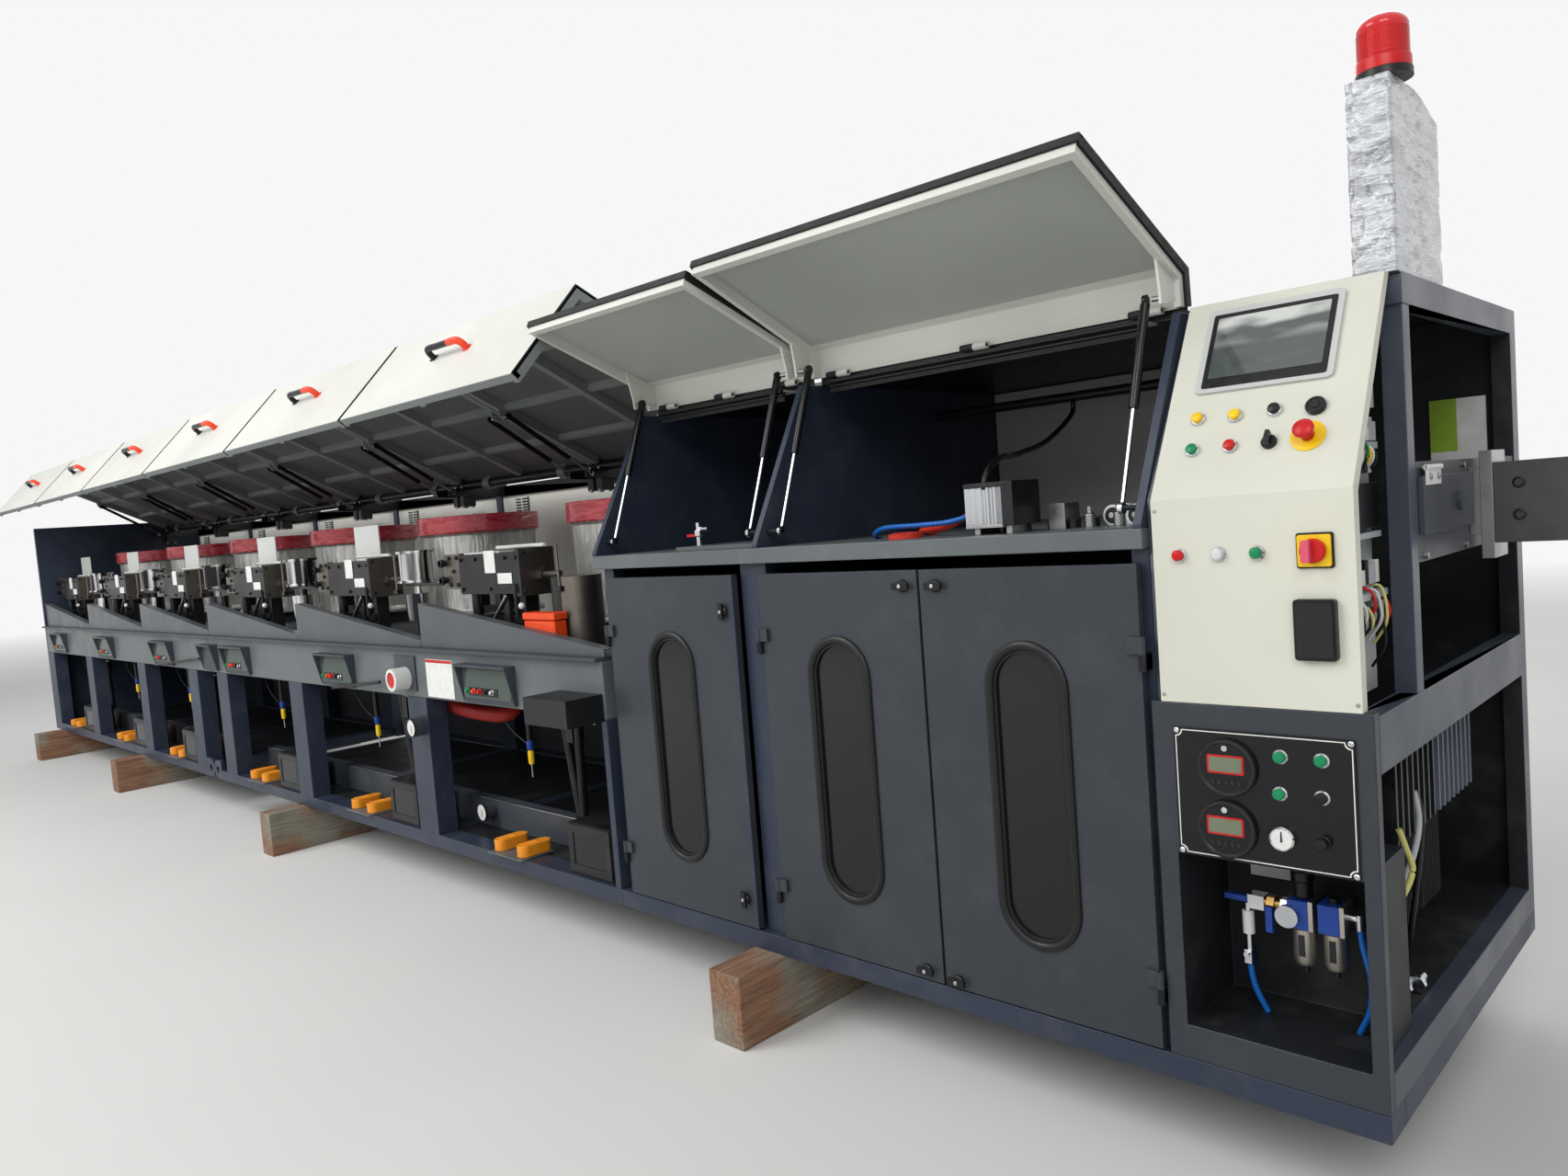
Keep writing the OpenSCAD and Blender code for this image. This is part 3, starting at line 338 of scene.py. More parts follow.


# Die stations
# A black steel die box on legs in each bay, with a scalloped machined side plate, a black cheek with
# the adjusting nut, and beside it a guide spool whose bright and dark upright bands are painted
# reflections. Lids stand open except on the first.
def metal(name, srgb, roughness=.3, grain=(1, 1, 1), marks=.15):
    """Bare metal: fine lines along the way it was worked, with duller, handled patches."""
    f = Finish(name, srgb, roughness, 1.0)
    lines = f.noise(160, 3, grain)
    stain = f.between(f.noise(9, 4), .4, .75)
    tone = f.mix(stain * .5 + lines * .25, f.colour, linear(np.array(srgb) * .72))
    f.set(Base_Color=tone, Roughness=lines * marks + stain * marks + (roughness - marks / 2))
    f.bump(lines, .00008)
    return f.material


def plastic(name, srgb, roughness=.35, grain=.00005, **sockets):
    """Moulded plastic or rubber with a fine grain and slightly uneven gloss."""
    f = Finish(name, srgb, roughness, Specular_IOR_Level=.3, **sockets)
    tone = f.mix(f.noise(30, 3), linear(np.array(srgb) * .9), linear(np.array(srgb) * 1.05))
    f.set(Base_Color=tone, Roughness=f.between(f.noise(60, 3), .3, .7, roughness - .06, roughness + .08))
    f.bump(f.noise(1500, 1), grain)
    return f.material


black_paint = painted("black_paint", (22, 23, 25), .36, .07)
steel = metal("machined_steel", (172, 172, 172), .30)
chrome = metal("chrome", (214, 216, 220), .12, marks=.06)
white_paint = painted("white_paint", (214, 216, 212), .38, .04)
bay_end = [-2360 - 1265 * i for i in range(6)]


def grid_faces(rows, columns, loop=False):
    """Quads between neighbouring rings of points, each ring closed. A loop joins the last ring to the first,
    and otherwise both end rings are closed by a face."""
    i, j = np.meshgrid(np.arange(rows if loop else rows - 1), np.arange(columns), indexing="ij")
    a, b = i * columns + j, i * columns + (j + 1) % columns
    c, d = (i + 1) % rows * columns + (j + 1) % columns, (i + 1) % rows * columns + j
    faces = np.stack((a, b, c, d), -1).reshape(-1, 4).tolist()
    if not loop:
        faces += [list(range(columns))[::-1], list(range((rows - 1) * columns, rows * columns))]
    return faces


def prism(outline, axis, start, end):
    """A closed outline carried straight along x, y or z: its points are given on the two other axes in order."""
    outline = np.array(outline, float)
    rings = np.zeros((2, len(outline), 3))
    others = [k for k in range(3) if k != "xyz".index(axis)]
    rings[:, :, others] = outline
    rings[0, :, "xyz".index(axis)], rings[1, :, "xyz".index(axis)] = start, end
    return rings.reshape(-1, 3), grid_faces(2, len(outline))


def block(low, high):
    """A straight-edged block between two corners; its piece's bevel rounds the edges."""
    (x0, y0, z0), (x1, y1, z1) = low, high
    return prism([(y0, z0), (y1, z0), (y1, z1), (y0, z1)], "x", x0, x1)


def lathe(profile, place, axis="z", sides=40, bored=False):
    """A profile of (radius, height) turned about an axis through a place: x = r cos t, y = r sin t, z = h. A bored
    one is a closed section round an open hole."""
    r, h = np.array(profile, float).T
    t = np.arange(sides) * 2 * np.pi / sides
    rings = np.stack((r[:, None] * np.cos(t), r[:, None] * np.sin(t), h[:, None] + 0 * t), -1)
    order = {"z": (0, 1, 2), "y": (0, 2, 1), "x": (2, 0, 1)}[axis]
    return rings[:, :, order].reshape(-1, 3) + np.array(place), grid_faces(len(r), sides, bored)


def rod(start, end, diameter, sides=24):
    """A straight round bar between two points: a ring at each end, across the line between them."""
    return tube([start, end], diameter, sides, 2)


def tube(points, diameter, sides=14, steps=None, ridge=0):
    """A round section carried along a smooth curve through points (a Catmull-Rom spline, sampled evenly), with
    each ring set across the curve's direction and every second one a ridge larger in radius."""
    p = np.array(points, float)
    steps = steps or 8 * len(p)
    if len(p) > 2:
        q = np.vstack((2 * p[0] - p[1], p, 2 * p[-1] - p[-2]))
        s = np.linspace(0, len(p) - 1, steps)
        k = np.minimum(s.astype(int), len(p) - 2)
        u = (s - k)[:, None]
        a, b, c, d = q[k], q[k + 1], q[k + 2], q[k + 3]
        p = .5 * (2 * b + (c - a) * u + (2 * a - 5 * b + 4 * c - d) * u ** 2 + (3 * b - a - 3 * c + d) * u ** 3)
    along = np.gradient(p, axis=0)
    along /= np.linalg.norm(along, axis=1)[:, None]
    side = np.cross(along, (.13, .29, .95))
    side /= np.linalg.norm(side, axis=1)[:, None]
    up = np.cross(side, along)
    t = np.arange(sides) * 2 * np.pi / sides
    radius = (diameter / 2 + ridge * (np.arange(len(p)) % 2))[:, None, None]
    rings = p[:, None] + radius * (side[:, None] * np.cos(t)[:, None] + up[:, None] * np.sin(t)[:, None])
    return rings.reshape(-1, 3), grid_faces(len(p), sides)


def hexagon(place, across, length, axis):
    """A hexagon nut or bolt head of a width across flats, standing along an axis from a place."""
    turn = {"x": "yz", "y": "xz", "z": "xy"}[axis]
    centre = [place["xyz".index(c)] for c in turn]
    t = np.arange(6) * np.pi / 3
    outline = np.stack((np.cos(t), np.sin(t)), -1) * across / 1.732 + centre
    start = place["xyz".index(axis)]
    return prism(outline, axis, start, start + length)


def blocks(material, *corners):
    """Blocks of one material, each from the six numbers of its two corners."""
    return [(material, block(c[:3], c[3:])) for c in corners]

def rods(material, *ends):
    """Round bars of one material: the places of both ends, then the diameter."""
    return [(material, rod(e[:3], e[3:6], e[6])) for e in ends]

def bolts(material, across, length, axis, *places):
    """Hexagons of one material and size."""
    return [(material, hexagon(place, across, length, axis)) for place in places]

def moved(parts, x):
    """The same parts x mm further along the row."""
    return [(material, (points + (x, 0, 0), faces)) for material, (points, faces) in parts]

def piece(name, body, parts, bevel=0, replaced=()):
    """One object from (material, (points, faces)) parts in mm from the corner, each a closed shape."""
    mesh = bpy.data.meshes.new(name)
    materials = list(dict.fromkeys(m for m, _ in parts))
    points = np.vstack([s[0] for _, s in parts])
    faces, index, first = [], [], 0
    for material, (place, loops) in parts:
        faces += [[v + first for v in loop] for loop in loops]
        index += [materials.index(material)] * len(loops)
        first += len(place)
    mesh.from_pydata((points / 1000 + corner).tolist(), [], faces)
    for material in materials:
        mesh.materials.append(material)
    mesh.polygons.foreach_set("material_index", index)
    shell = bmesh.new()
    shell.from_mesh(mesh)
    bmesh.ops.recalc_face_normals(shell, faces=shell.faces)
    shell.to_mesh(mesh)
    shell.free()
    return finish_piece(name, mesh, body, bevel, replaced)


def die_face(place, normal):
    """Which finish each part of a die station has: 0 black, 1 cast grey, 2 white, 3 spool steel with painted
    reflections.
    """
    chosen = np.zeros(len(place), int)
    for end in bay_end:
        x = place[:, 0] - end
        here = (x < 40) & (x > -1225)
        chosen[here & (x < -1087.8) & (place[:, 1] > 123.8) & (place[:, 2] > 1060)] = 1
        chosen[here & (place[:, 2] > 1210.2) & (x < -700)] = 2
        chosen[here & (x > -627) & (x < -470) & (place[:, 2] > 1070)] = 1
        chosen[here & (np.hypot(x + 367, place[:, 1] - 215) < 90)] = 3 if end < bay_end[0] else 1
    return chosen


# The spools' steel: broad upright bands from near black to near white in its colour are painted reflections.
f = Finish("spool_steel_painted_reflections", (150, 150, 152), .2, 1.0)
f.set(Base_Color=f.mix(f.between(f.noise(26, 1, (1, 1, .02)), .42, .58), linear((46, 46, 50)), linear((224, 224, 222))))
spool_steel_painted_reflections = f.material
cast_grey = metal("cast_grey", (124, 117, 110), .38)
dressed("die_stations", [black_paint, cast_grey, white_paint, spool_steel_painted_reflections], die_face, 1.5)
red_plastic = plastic("red_plastic", (196, 22, 24), .3)
ball_white = plastic("white_ball", (226, 226, 222), .3)
card = plastic("card", (226, 226, 222), .5)
knob_head = [(13, -28), (17, -26), (17, -12), (9, -8), (9, 0)]
station = rods(white_paint, (-900, 190, 1230, -560, 190, 1230, 15))
station += rods(cast_grey, (-386, 122, 1062, -386, 122, 1232, 9))
station += rods(steel, (-940, 132, 880, -760, 132, 1046, 18))
station += blocks(black_paint, (-402, 114, 1056, -370, 142, 1076), (-1010, 170, 905, -870, 235, 1000),
                  (-850, 170, 905, -700, 215, 1030), (-1075, 150, 930, -690, 164, 962),
                  (-800, 134, 870, -760, 158, 1048))
station += rods(black_paint, (-985, 160, 960, -720, 160, 985, 26), (-665, 110, 959, -665, 110, 1089, 14),
                (-640, 112, 960, -616, 100, 1000, 10), (-1005, 140, 900, -1005, 140, 1050, 34))
station += blocks(card, (-886, 117.4, 1133, -808, 119.2, 1221), (-797, 117.4, 1090, -695, 119.2, 1131))
station.append((ball_white, lathe([(2, -13), (9, -9), (13, 0), (9, 9), (2, 13)], (-612, 98, 1006))))
station += [(black_paint, lathe(knob_head, (-1204, 124, z), "y", 10)) for z in (1180, 1110)]
station += bolts(black_paint, 16, 8, "y", *((x, 116, z) for x, z in (
    (-1170, 1200), (-1110, 1200), (-1170, 1090), (-1110, 1090), (-1140, 1145))))
station += bolts(black_paint, 15, 8, "y", *((x, 112, z) for x, z in (
    (-1070, 1190), (-960, 1190), (-860, 1070), (-740, 1190), (-660, 1190), (-1070, 1070), (-660, 1070))))
station += bolts(black_paint, 14, 8, "x", *((-626, y, z) for y in (130, 250) for z in (1205, 1060)))
for i, end in enumerate(bay_end):
    piece(f"die_fittings_{i + 1}", "frame", moved(station, end), .8)

# Hinge rail and vent panels
# A round hinge pipe over each bay, on flat arms from a rear beam, with black clamp blocks. Louvred
# white panels close the back between the posts; the dark in their slots is painted shade, and the black
# bars along the slots' right side and bottom are a painted shadow.
for node in ("hinge_rail", "hinge_studs"):
    dressed(node, [black_paint], bevel=1)
vent_cream = painted("vent_paint", (238, 236, 226), .45, .06)
dressed("vent_panels", [vent_cream], bevel=.8)
parts = []
for end in bay_end:
    for x in (end - 1254, end - 57):
        parts += blocks(black_paint, (x, 960, 1456, x + 46, 1032, 1558))
        for y in (967, 1025):
            parts += rods(steel, (x + 23, y, 1556, x + 23, y, 1570, 10))
            parts += bolts(steel, 18, 14, "z", (x + 23, y, 1449))
piece("pipe_clamps", "frame", parts, 2)
# Black strips behind each vent slot are painted shade in the openings, and the black bars along the slots' right side
# and bottom are a painted shadow.
parts = []
for right in [-2416] + [end - 28 for end in bay_end[1:]]:
    parts += blocks(vent_cream, (right - 297, 1229, 1322, right - 143, 1231, 1436))
    parts += blocks(black_paint, *((x, 1219, z, x + 50, 1221.5, z + 8) for z in range(1392, 1473, 16)
                                   for x in (right - 1010, right - 1076)))
    parts += blocks(black_paint, (right - 952, 1217, 1382, right - 944, 1221.5, 1486),
                    (right - 1084, 1217, 1380, right - 944, 1221.5, 1386))
piece("vent_slots_painted_shade", "frame", parts, .5)


# Row hoods
# Six bent steel hoods, cream outside and dark inside, stiffened by folded ribs, with a black bow
# handle whose end is moulded orange, and a rubber seal round the edges.
def left(v):
    """A flat direction turned a quarter to the left."""
    return np.array([-v[1], v[0]])


def bent(bends, inner, outer=0):
    """The outline of a sheet bent along three points, from outer to inner mm to the left of the path, mitred."""
    a, b, c = (np.array(q, float) for q in bends)
    n0, n1 = left((b - a) / np.linalg.norm(b - a)), left((c - b) / np.linalg.norm(c - b))
    mitre = (n0 + n1) / (1 + n0 @ n1)
    return [a + outer * n0, b + outer * mitre, c + outer * n1, c + inner * n1, b + inner * mitre, a + inner * n0]


def tilted(shape, hinge, angle):
    """A shape drawn shut, with y and z from its hinge line, turned open by an angle in degrees about it."""
    points, faces = shape
    c, s = math.cos(math.radians(angle)), math.sin(math.radians(angle))
    y, z = points[:, 1], points[:, 2]
    return np.stack((points[:, 0], hinge[0] + y * c + z * s, hinge[1] - y * s + z * c), -1), faces


row_hinge = (996, 1570)
row_angle = 42.4
row_bends = [(10, 36), (-1051, -272), (-1051, -680)]
hood_cream = painted("hood_cream", (208, 208, 200), .42, .03)
row_inside = painted("hood_inner_paint", (92, 94, 94), .46, .08)
row_rib = painted("hood_rib_paint", (122, 128, 126), .42, .05)
rubber = plastic("black_rubber", (18, 18, 19), .55)
handle_black = plastic("handle_black", (20, 20, 22), .32)
handle_orange = plastic("handle_orange", (238, 70, 36), .3)
c, s = math.cos(math.radians(row_angle)), math.sin(math.radians(row_angle))
head = (480 - 996, 1792 - 1570)
slope = np.array([-1061, -308]) / math.hypot(1061, 308)
inward = left(slope)
rib_path = [row_bends[0] + 60 * slope, row_bends[1], row_bends[2]]
row_head = np.array([head[0] * c - head[1] * s, head[0] * s + head[1] * c])
x0, x1 = 8 - 1265, -8
mid = (x0 + x1) / 2
shut = [(hood_cream, prism(bent(row_bends, 2), "x", x0 + 2, x1 - 2)),
        (row_inside, prism(bent(row_bends, 4, 2.05), "x", x0 + 2, x1 - 2)),
        (row_rib, block((x0, -1049, -682), (x1, -1021, -661)))]
shut += [(row_rib, prism(bent(rib_path, 40, 4.1), "x", low, high))
         for low, high in ((x0, x0 + 30), (mid - 20, mid + 20), (x1 - 30, x1))]
shut += [(rubber, prism(bent(row_bends, 12, -.5), "x", low, low + 5)) for low in (x0, x1 - 5)]
for u in (260, 560, 860):
    start = np.array(row_bends[0]) + slope * u + inward * 4.1
    across = [start, start + slope * 40, start + slope * 32 + inward * 22, start + slope * 8 + inward * 22]
    shut += [(row_rib, prism(across, "x", low, high)) for low, high in ((x0 + 30, mid - 20), (mid + 20, x1 - 30))]
for low in (mid - 380, mid + 320):
    shut += [(row_rib, lathe([(24.3, 0), (33, 0), (33, 60), (24.3, 60)], (low, 0, 0), "x", bored=True)),
             (row_rib, block((low + 4, -30, 10), (low + 56, 12, 30)))]
gusset = [row_head + (-14, -8), row_head + (14, -8), row_head + (70, 62), row_head + (-70, 28)]
for low, start, stop in ((x0 + 20, x0 + 28, x0 + 51), (x1 - 28, x1 - 51, x1 - 28)):
    shut += [(row_rib, prism(gusset, "x", low, low + 8)), (steel, rod((start, *row_head), (stop, *row_head), 12))]
grip_y, grip_z = -1051 - 44, -272 - 181
for x, tint in ((mid - 118, handle_black), (mid + 118, handle_orange)):
    shut.append((tint, block((x - 16, -1056, grip_z - 14), (x + 16, -1050, grip_z + 14))))
bow = [(mid - 118, -1052, grip_z), (mid - 116, -1078, grip_z), (mid - 98, grip_y, grip_z),
       (mid - 40, grip_y, grip_z), (mid + 50, grip_y, grip_z)]
tip = [(mid + 46, grip_y, grip_z), (mid + 80, grip_y, grip_z), (mid + 104, grip_y + 4, grip_z),
       (mid + 117, -1074, grip_z), (mid + 118, -1052, grip_z)]
shut += [(handle_black, tube(bow, 24, 16)), (handle_orange, tube(tip, 27, 16))]
opened = [(material, tilted(shape, row_hinge, row_angle)) for material, shape in shut]
for i, end in enumerate(bay_end):
    piece(f"row_hood_{i + 1}", f"hood_{i + 1}", moved(opened, end), 1.2, [f"hood_{i + 1}"])

# Gas struts
# Black enamelled tubes over polished rods, on round eyes at both ends.
strut_black = plastic("strut_enamel", (16, 16, 17), .22)


def coat(node, material):
    """Gives a CAD node whose shape is right its material."""
    mesh = frame["nodes"][node].data
    mesh.materials.clear()
    mesh.materials.append(material)


for i in range(1, 7):
    coat(f"rods_{i}", chrome)
    coat(f"tubes_{i}", strut_black)
for size in ("small", "large"):
    coat(f"{size}_hood_rods", chrome)
    coat(f"{size}_hood_tubes", strut_black)

# Fittings on the beam and in the base
# Control boxes bent from sheet with a glazed row of knobs, a mains socket, two gauges and a blank
# card at the first bay. Each base bay has an inner beam with a bright edge and a window box.
def fitting_face(place, normal):
    """Which finish each fitting has: 0 painted, 1 white, 2 black."""
    x, y, z = place.T
    chosen = np.zeros(len(place), int)
    chosen[(np.abs(x + 3740) < 50) & (y < -8.2) & (z > 660)] = 1
    chosen[(x > -2640) & (z > 600)] = 2
    chosen[(y > 19) & (y < 151) & (z > 54) & (z < 241)] = 2
    return chosen


# Near black: the own colour of the drive modules and small dark parts, and painted shade where it lines the cabinet's
# inward faces, its recess and the pans under the base.
dark_and_painted_shade = painted("dark_inside_and_painted_shade", (24, 26, 29), .5, .10)
# Opaque dark glass: its colour is partly the tint and partly painted shade standing in for the dark inside seen through
# it.
dark_glass = plastic("dark_glass", (24, 26, 28), .07, .00001)
display_green = plastic("display_strip", (66, 78, 72), .12, .00002)
green_plastic = plastic("green_plastic", (20, 132, 84), .28)
yellow_plastic = plastic("yellow_plastic", (238, 196, 30), .3)
black_plastic = plastic("black_plastic", (20, 20, 22), .32)
blue_plastic = plastic("blue_plastic", (30, 66, 150), .3)
dressed("bay_fittings", [graphite, white_paint, black_paint], fitting_face, 1.5)
knob = [(11, 0), (11, -4), (8, -5), (8, -13), (6, -15), (.5, -15)]
beam_box = [(-908, -540)] + [(-965, -620)] * 5
parts = []
for end, (low, high) in zip(bay_end, beam_box):
    x0, x1 = end + low + 16, end + high - 16
    parts += blocks(display_green, (x0, -17, 662, x1, -14.2, 776))
    parts += blocks(black_plastic, (x0 + 40, -19, 672, x1 - 90, -17.2, 704))
    parts += [(cap, lathe(knob, (x0 + 34 + k * 44, -17, 690), "y", 20))
              for k, cap in enumerate((green_plastic, handle_orange, red_plastic, black_plastic, chrome))]
parts += blocks(card, (-3576, -2, 642, -3360, -.2, 798)) + blocks(red_plastic, (-3574, -2.8, 784, -3362, -2.1, 796))
ring = [(47, -70), (47, -78), (40, -80), (34, -80), (34, -72), (22, -72)]
parts += [(white_paint, lathe(ring, (-3740, 0, 712), "y", 36)),
          (red_plastic, lathe([(33, -72), (33, -75), (.5, -75)], (-3740, 0, 712), "y", 36))]
rim = [(38, 0), (41, -2), (41, -8), (35, -8), (35, -3), (20, -3)]
for x, y, z in ((-3650, -50, 514), (-3500, 150, 130)):
    parts += [(black_paint, lathe(rim, (x, y, z), "y", 40)),
              (card, lathe([(34.5, -3.2), (34.5, -4), (.5, -4)], (x, y, z), "y", 40))]
    parts += blocks(black_plastic, (x - 2, y - 5, z - 22, x + 2, y - 4.2, z + 12))
parts += rods(black_paint, (-4436, -30, 637, -3948, -30, 687, 14), (-7007, -40, 646, -6256, -20, 708, 14))
piece("beam_fittings", "frame", parts, .8)

span = [(-3605, -2391), (-4870, -3765), (-5900, -5030), (-7400, -6550), (-8665, -7560), (-9790, -8825)]
window = blocks(black_paint, (-248, 14, 62, -2, 20, 92), (-248, 14, 206, -2, 20, 236), (-248, 14, 92, -218, 20, 206),
                (-32, 14, 92, -2, 20, 206)) + blocks(dark_glass, (-218, 17, 92, -32, 20, 206))
feed = blocks(black_paint, (-20, 150, 690, 20, 176, 832), (200, 196, 470, 246, 250, 640))
feed += rods(black_paint, (0, 163, 430, 0, 163, 700, 22), (150, 200, 832, 210, 230, 166, 34),
             (290, 200, 832, 230, 230, 166, 34))
feed += rods(steel, (0, 163, 320, 0, 163, 374, 6), (140, 190, 600, 420, 190, 560, 16))
feed += [(yellow_plastic, lathe([(9, -50), (12, -42), (12, 0), (9, 6)], (0, 163, 422), sides=20)),
         (blue_plastic, lathe([(11, 0), (14, 5), (14, 32), (10, 38)], (0, 163, 430), sides=20)),
         (black_plastic, tube([(-230, 150, 832), (-215, 150, 660), (-130, 152, 520), (-14, 160, 452)], 7, 8, 30))]
parts = []
for low, high in span:
    parts += moved(window, high - 35) + moved(feed, (low + high) / 2 - 110)
    parts += rods(steel, (low + 20, 200, 172, high - 330, 200, 172, 7))
piece("base_gear", "frame", parts, .8)
# A dark pan under each bay, where the floor lies in the machine's shade: painted shade.
for i, (low, high) in enumerate(span):
    shade_pan = blocks(dark_and_painted_shade, (low - 35, 90.5, 48, high + 30, 1164.5, 53))
    piece(f"base_shade_pan_{i + 1}", "frame", shade_pan, .8)

hose = [(-3700, 150, 720), (-3690, 150, 620), (-3630, 150, 570), (-3400, 150, 556), (-3230, 150, 570),
        (-3168, 156, 630),
        (-3156, 158, 832)]
hose_red = plastic("red_hose", (150, 34, 30), .45)
piece("duct_hose", "frame", [(hose_red, tube(hose, 54, 22, 150, ridge=5))])

box_orange = plastic("orange_box", (232, 76, 28), .32)
piece("parts_box", "frame",
      blocks(box_orange, (-2907, 60, 844.2, -2708, 115, 955), (-2912, 57, 957, -2703, 118, 985)), 6)

# Foot pedals
# Two moulded orange pedals stand on a folded tray in each bay, ribbed across the toe end.
pedal_orange = plastic("pedal_orange", (240, 150, 36), .34)
tray_centre = [min(end - 590, high - 300) - 118 for end, (low, high) in zip(bay_end, span)]
dressed("foot_pedals", [beam_grey, pedal_orange], lambda place, normal: place[:, 2] > 61.2, 7)
parts = [(pedal_orange, block((x + side - 22, y, 104), (x + side + 22, y + 7, 107.5)))
         for x in tray_centre for side in (-80, 80) for y in (14, 28, 42, 56, 70)]
piece("pedal_treads", "frame", parts, 1.5)


# Enclosure walls, shelf and roof
# Welded from sheet: dark blue side walls and partition, a grey shelf with a rolled edge, and a pale
# back plate. Black seals run under the roof's front edge, and small valves stand on the shelf.
inner_pale = painted("back_plate_paint", (176, 174, 170), .28, .10)
seal_black = plastic("seal_black", (14, 14, 15), .4)
dressed("side_walls", [navy], bevel=1.5)
dressed("shelf_and_roof", [beam_grey, hood_cream, seal_black],
        lambda place, normal: np.where(place[:, 2] < 1200, 0, np.where(normal[:, 2] < -.5, 2, 1)), 3)
lid_span = [(-2358, -1594), (-1586, -436)]
parts = []
for low, high in lid_span:
    parts += blocks(hood_cream, (low + 90, 262, 1639, high - 90, 332, 1644.8))
    parts += rods(seal_black, *((low + 90, y, z, high - 90, y, z, d)
                                for y, z, d in ((261, 1642, 13), (266, 1629, 9), (272, 1618, 7))))
    parts += blocks(seal_black, (low + 90, 270, 1612, high - 90, 276, 1640),
                    (low + 12, 319, 1646, high - 12, 324.5, 1672))
parts += blocks(inner_pale, (-1578, 1246, 1184, -452, 1254, 1640), (-2338, 1246, 1184, -1602, 1254, 1640))
piece("roof_seals", "frame", parts, 1)

valve = [(16, 0), (16, 6), (9, 8), (9, 40), (14, 42), (14, 60), (8, 62), (8, 84), (.5, 84)]
parts = [(chrome, lathe(valve, (-1990, 150, 1182)))] + rods(chrome, (-1990, 150, 1246, -1946, 150, 1246, 13))
parts += blocks(red_plastic, (-2040, 143, 1222, -1990, 157, 1231))
parts += blocks(beam_grey, (-2000, 60, 1182.2, -1612, 330, 1194), (-678, 60, 1182.2, -471, 250, 1184))
parts += blocks(black_paint, (-1870, 330, 1182.2, -1690, 470, 1290))
parts += bolts(black_paint, 26, 22, "z", *((x, 210, 1182.2) for x in (-900, -850, -760, -700, -650)))
piece("shelf_gear", "frame", parts, 1.5)

# Take-in gear
# The feed motor is a fluted aluminium body with a black end plate, its cable drops from the roof
# bar, and two ball-raced rollers straighten the wire beside it.
alloy = metal("fluted_alloy", (196, 198, 200), .32, (12, 12, .3))
flute = np.where((np.arange(80) // 2) % 2 == 0, 0, 6.0)
side = np.linspace(-1, 1, 21)[:-1]
edge = np.ones(20)
outer = np.vstack([np.column_stack(pair) for pair in ((side, -edge), (edge, side), (-side, edge), (-edge, -side))])
body = outer * np.column_stack((52 - flute, 58 - flute)) + (-868, 134)
parts = [(alloy, prism(body, "z", 1206, 1296))]
parts += blocks(black_paint, (-921, 74, 1296, -783, 194, 1307), (-815, 74, 1202, -783, 194, 1296))
parts += blocks(steel, (-905, 90, 1182, -889, 178, 1202), (-815, 90, 1182, -799, 178, 1202),
                (-921, 76, 1198, -815, 192, 1206), (-760, 190, 1182, -715, 260, 1244))
parts += rods(black_paint, (-1580, 900, 1560, -450, 900, 1560, 30))
race = [(8, 0), (25, 0), (25, 18), (22, 22), (22, 68), (25, 72), (25, 90), (8, 90)]
for x, y in ((-614, 232), (-512, 145)):
    parts += [(white_paint, lathe(race, (x, y, 1207), "y", 32)),
              (black_paint, lathe([(7.8, -2), (19, -2), (19, 2), (7.8, 2)], (x, y, 1207), "y", 24))]
    parts += rods(steel, (x, y - 8, 1207, x, y + 92, 1207, 14))
stud = [(14, 0), (14, 30), (8, 34), (8, 48), (.5, 48)]
parts += [(steel, lathe(stud, (x, y, 1184), sides=20)) for x, y in ((-655, 200), (-575, 190), (-545, 185))]
piece("take_in", "frame", parts, 1, ["take_in_gear"])
cable = [(-1067, 890, 1546), (-1062, 860, 1500), (-1020, 640, 1420), (-960, 380, 1380), (-900, 220, 1370),
         (-870, 120, 1345), (-866, 90, 1318), (-868, 84, 1290)]
blue_hose = [(-1330, 240, 1183), (-1303, 190, 1196), (-1240, 160, 1212), (-1120, 150, 1214), (-1020, 150, 1218),
             (-930, 152, 1236),
             (-905, 140, 1242)]
red_hose = [(-1200, 330, 1183), (-1180, 240, 1196), (-1090, 190, 1200), (-1030, 170, 1208),
            (-950, 160, 1240), (-905, 150, 1254)]
hose_blue = plastic("blue_hose", (22, 96, 178), .25)
hose_orange = plastic("orange_hose", (206, 54, 34), .3)
piece("take_in_cables", "frame",
      [(black_plastic, tube(cable, 15, 12, 70)), (hose_blue, tube(blue_hose, 14, 12, 60)),
       (hose_orange, tube(red_hose, 16, 12, 60)),
       (hose_orange, lathe([(.5, 0), (46, 0), (46, 12), (30, 16), (.5, 16)], (-1150, 130, 1182.2)))])


# Doors
# Folded sheet doors with a tall oblong window: opaque dark glass behind a thick rounded rubber trim, its
# colour partly the tint and partly painted shade of the dark inside behind it. Black turn latches hold
# them, and the two knuckles of each are welded to the outer edge.
def oblong(width, height):
    """A closed outline: half circles of radius width / 2 above and below, joined by straight sides."""
    t = np.linspace(0, np.pi, 25)
    top = np.column_stack((width / 2 * np.cos(t), (height - width) / 2 + width / 2 * np.sin(t)))
    return np.vstack((top, -top))


def oblong_sweep(width, height, section, place):
    """A closed section of (outwards, y) pairs carried round an oblong, seen from the front."""
    rings = np.stack([np.insert(oblong(width + 2 * d, height + 2 * d), 1, y, 1) for d, y in section])
    return rings.reshape(-1, 3) + np.array(place), grid_faces(len(section), 50, loop=True)


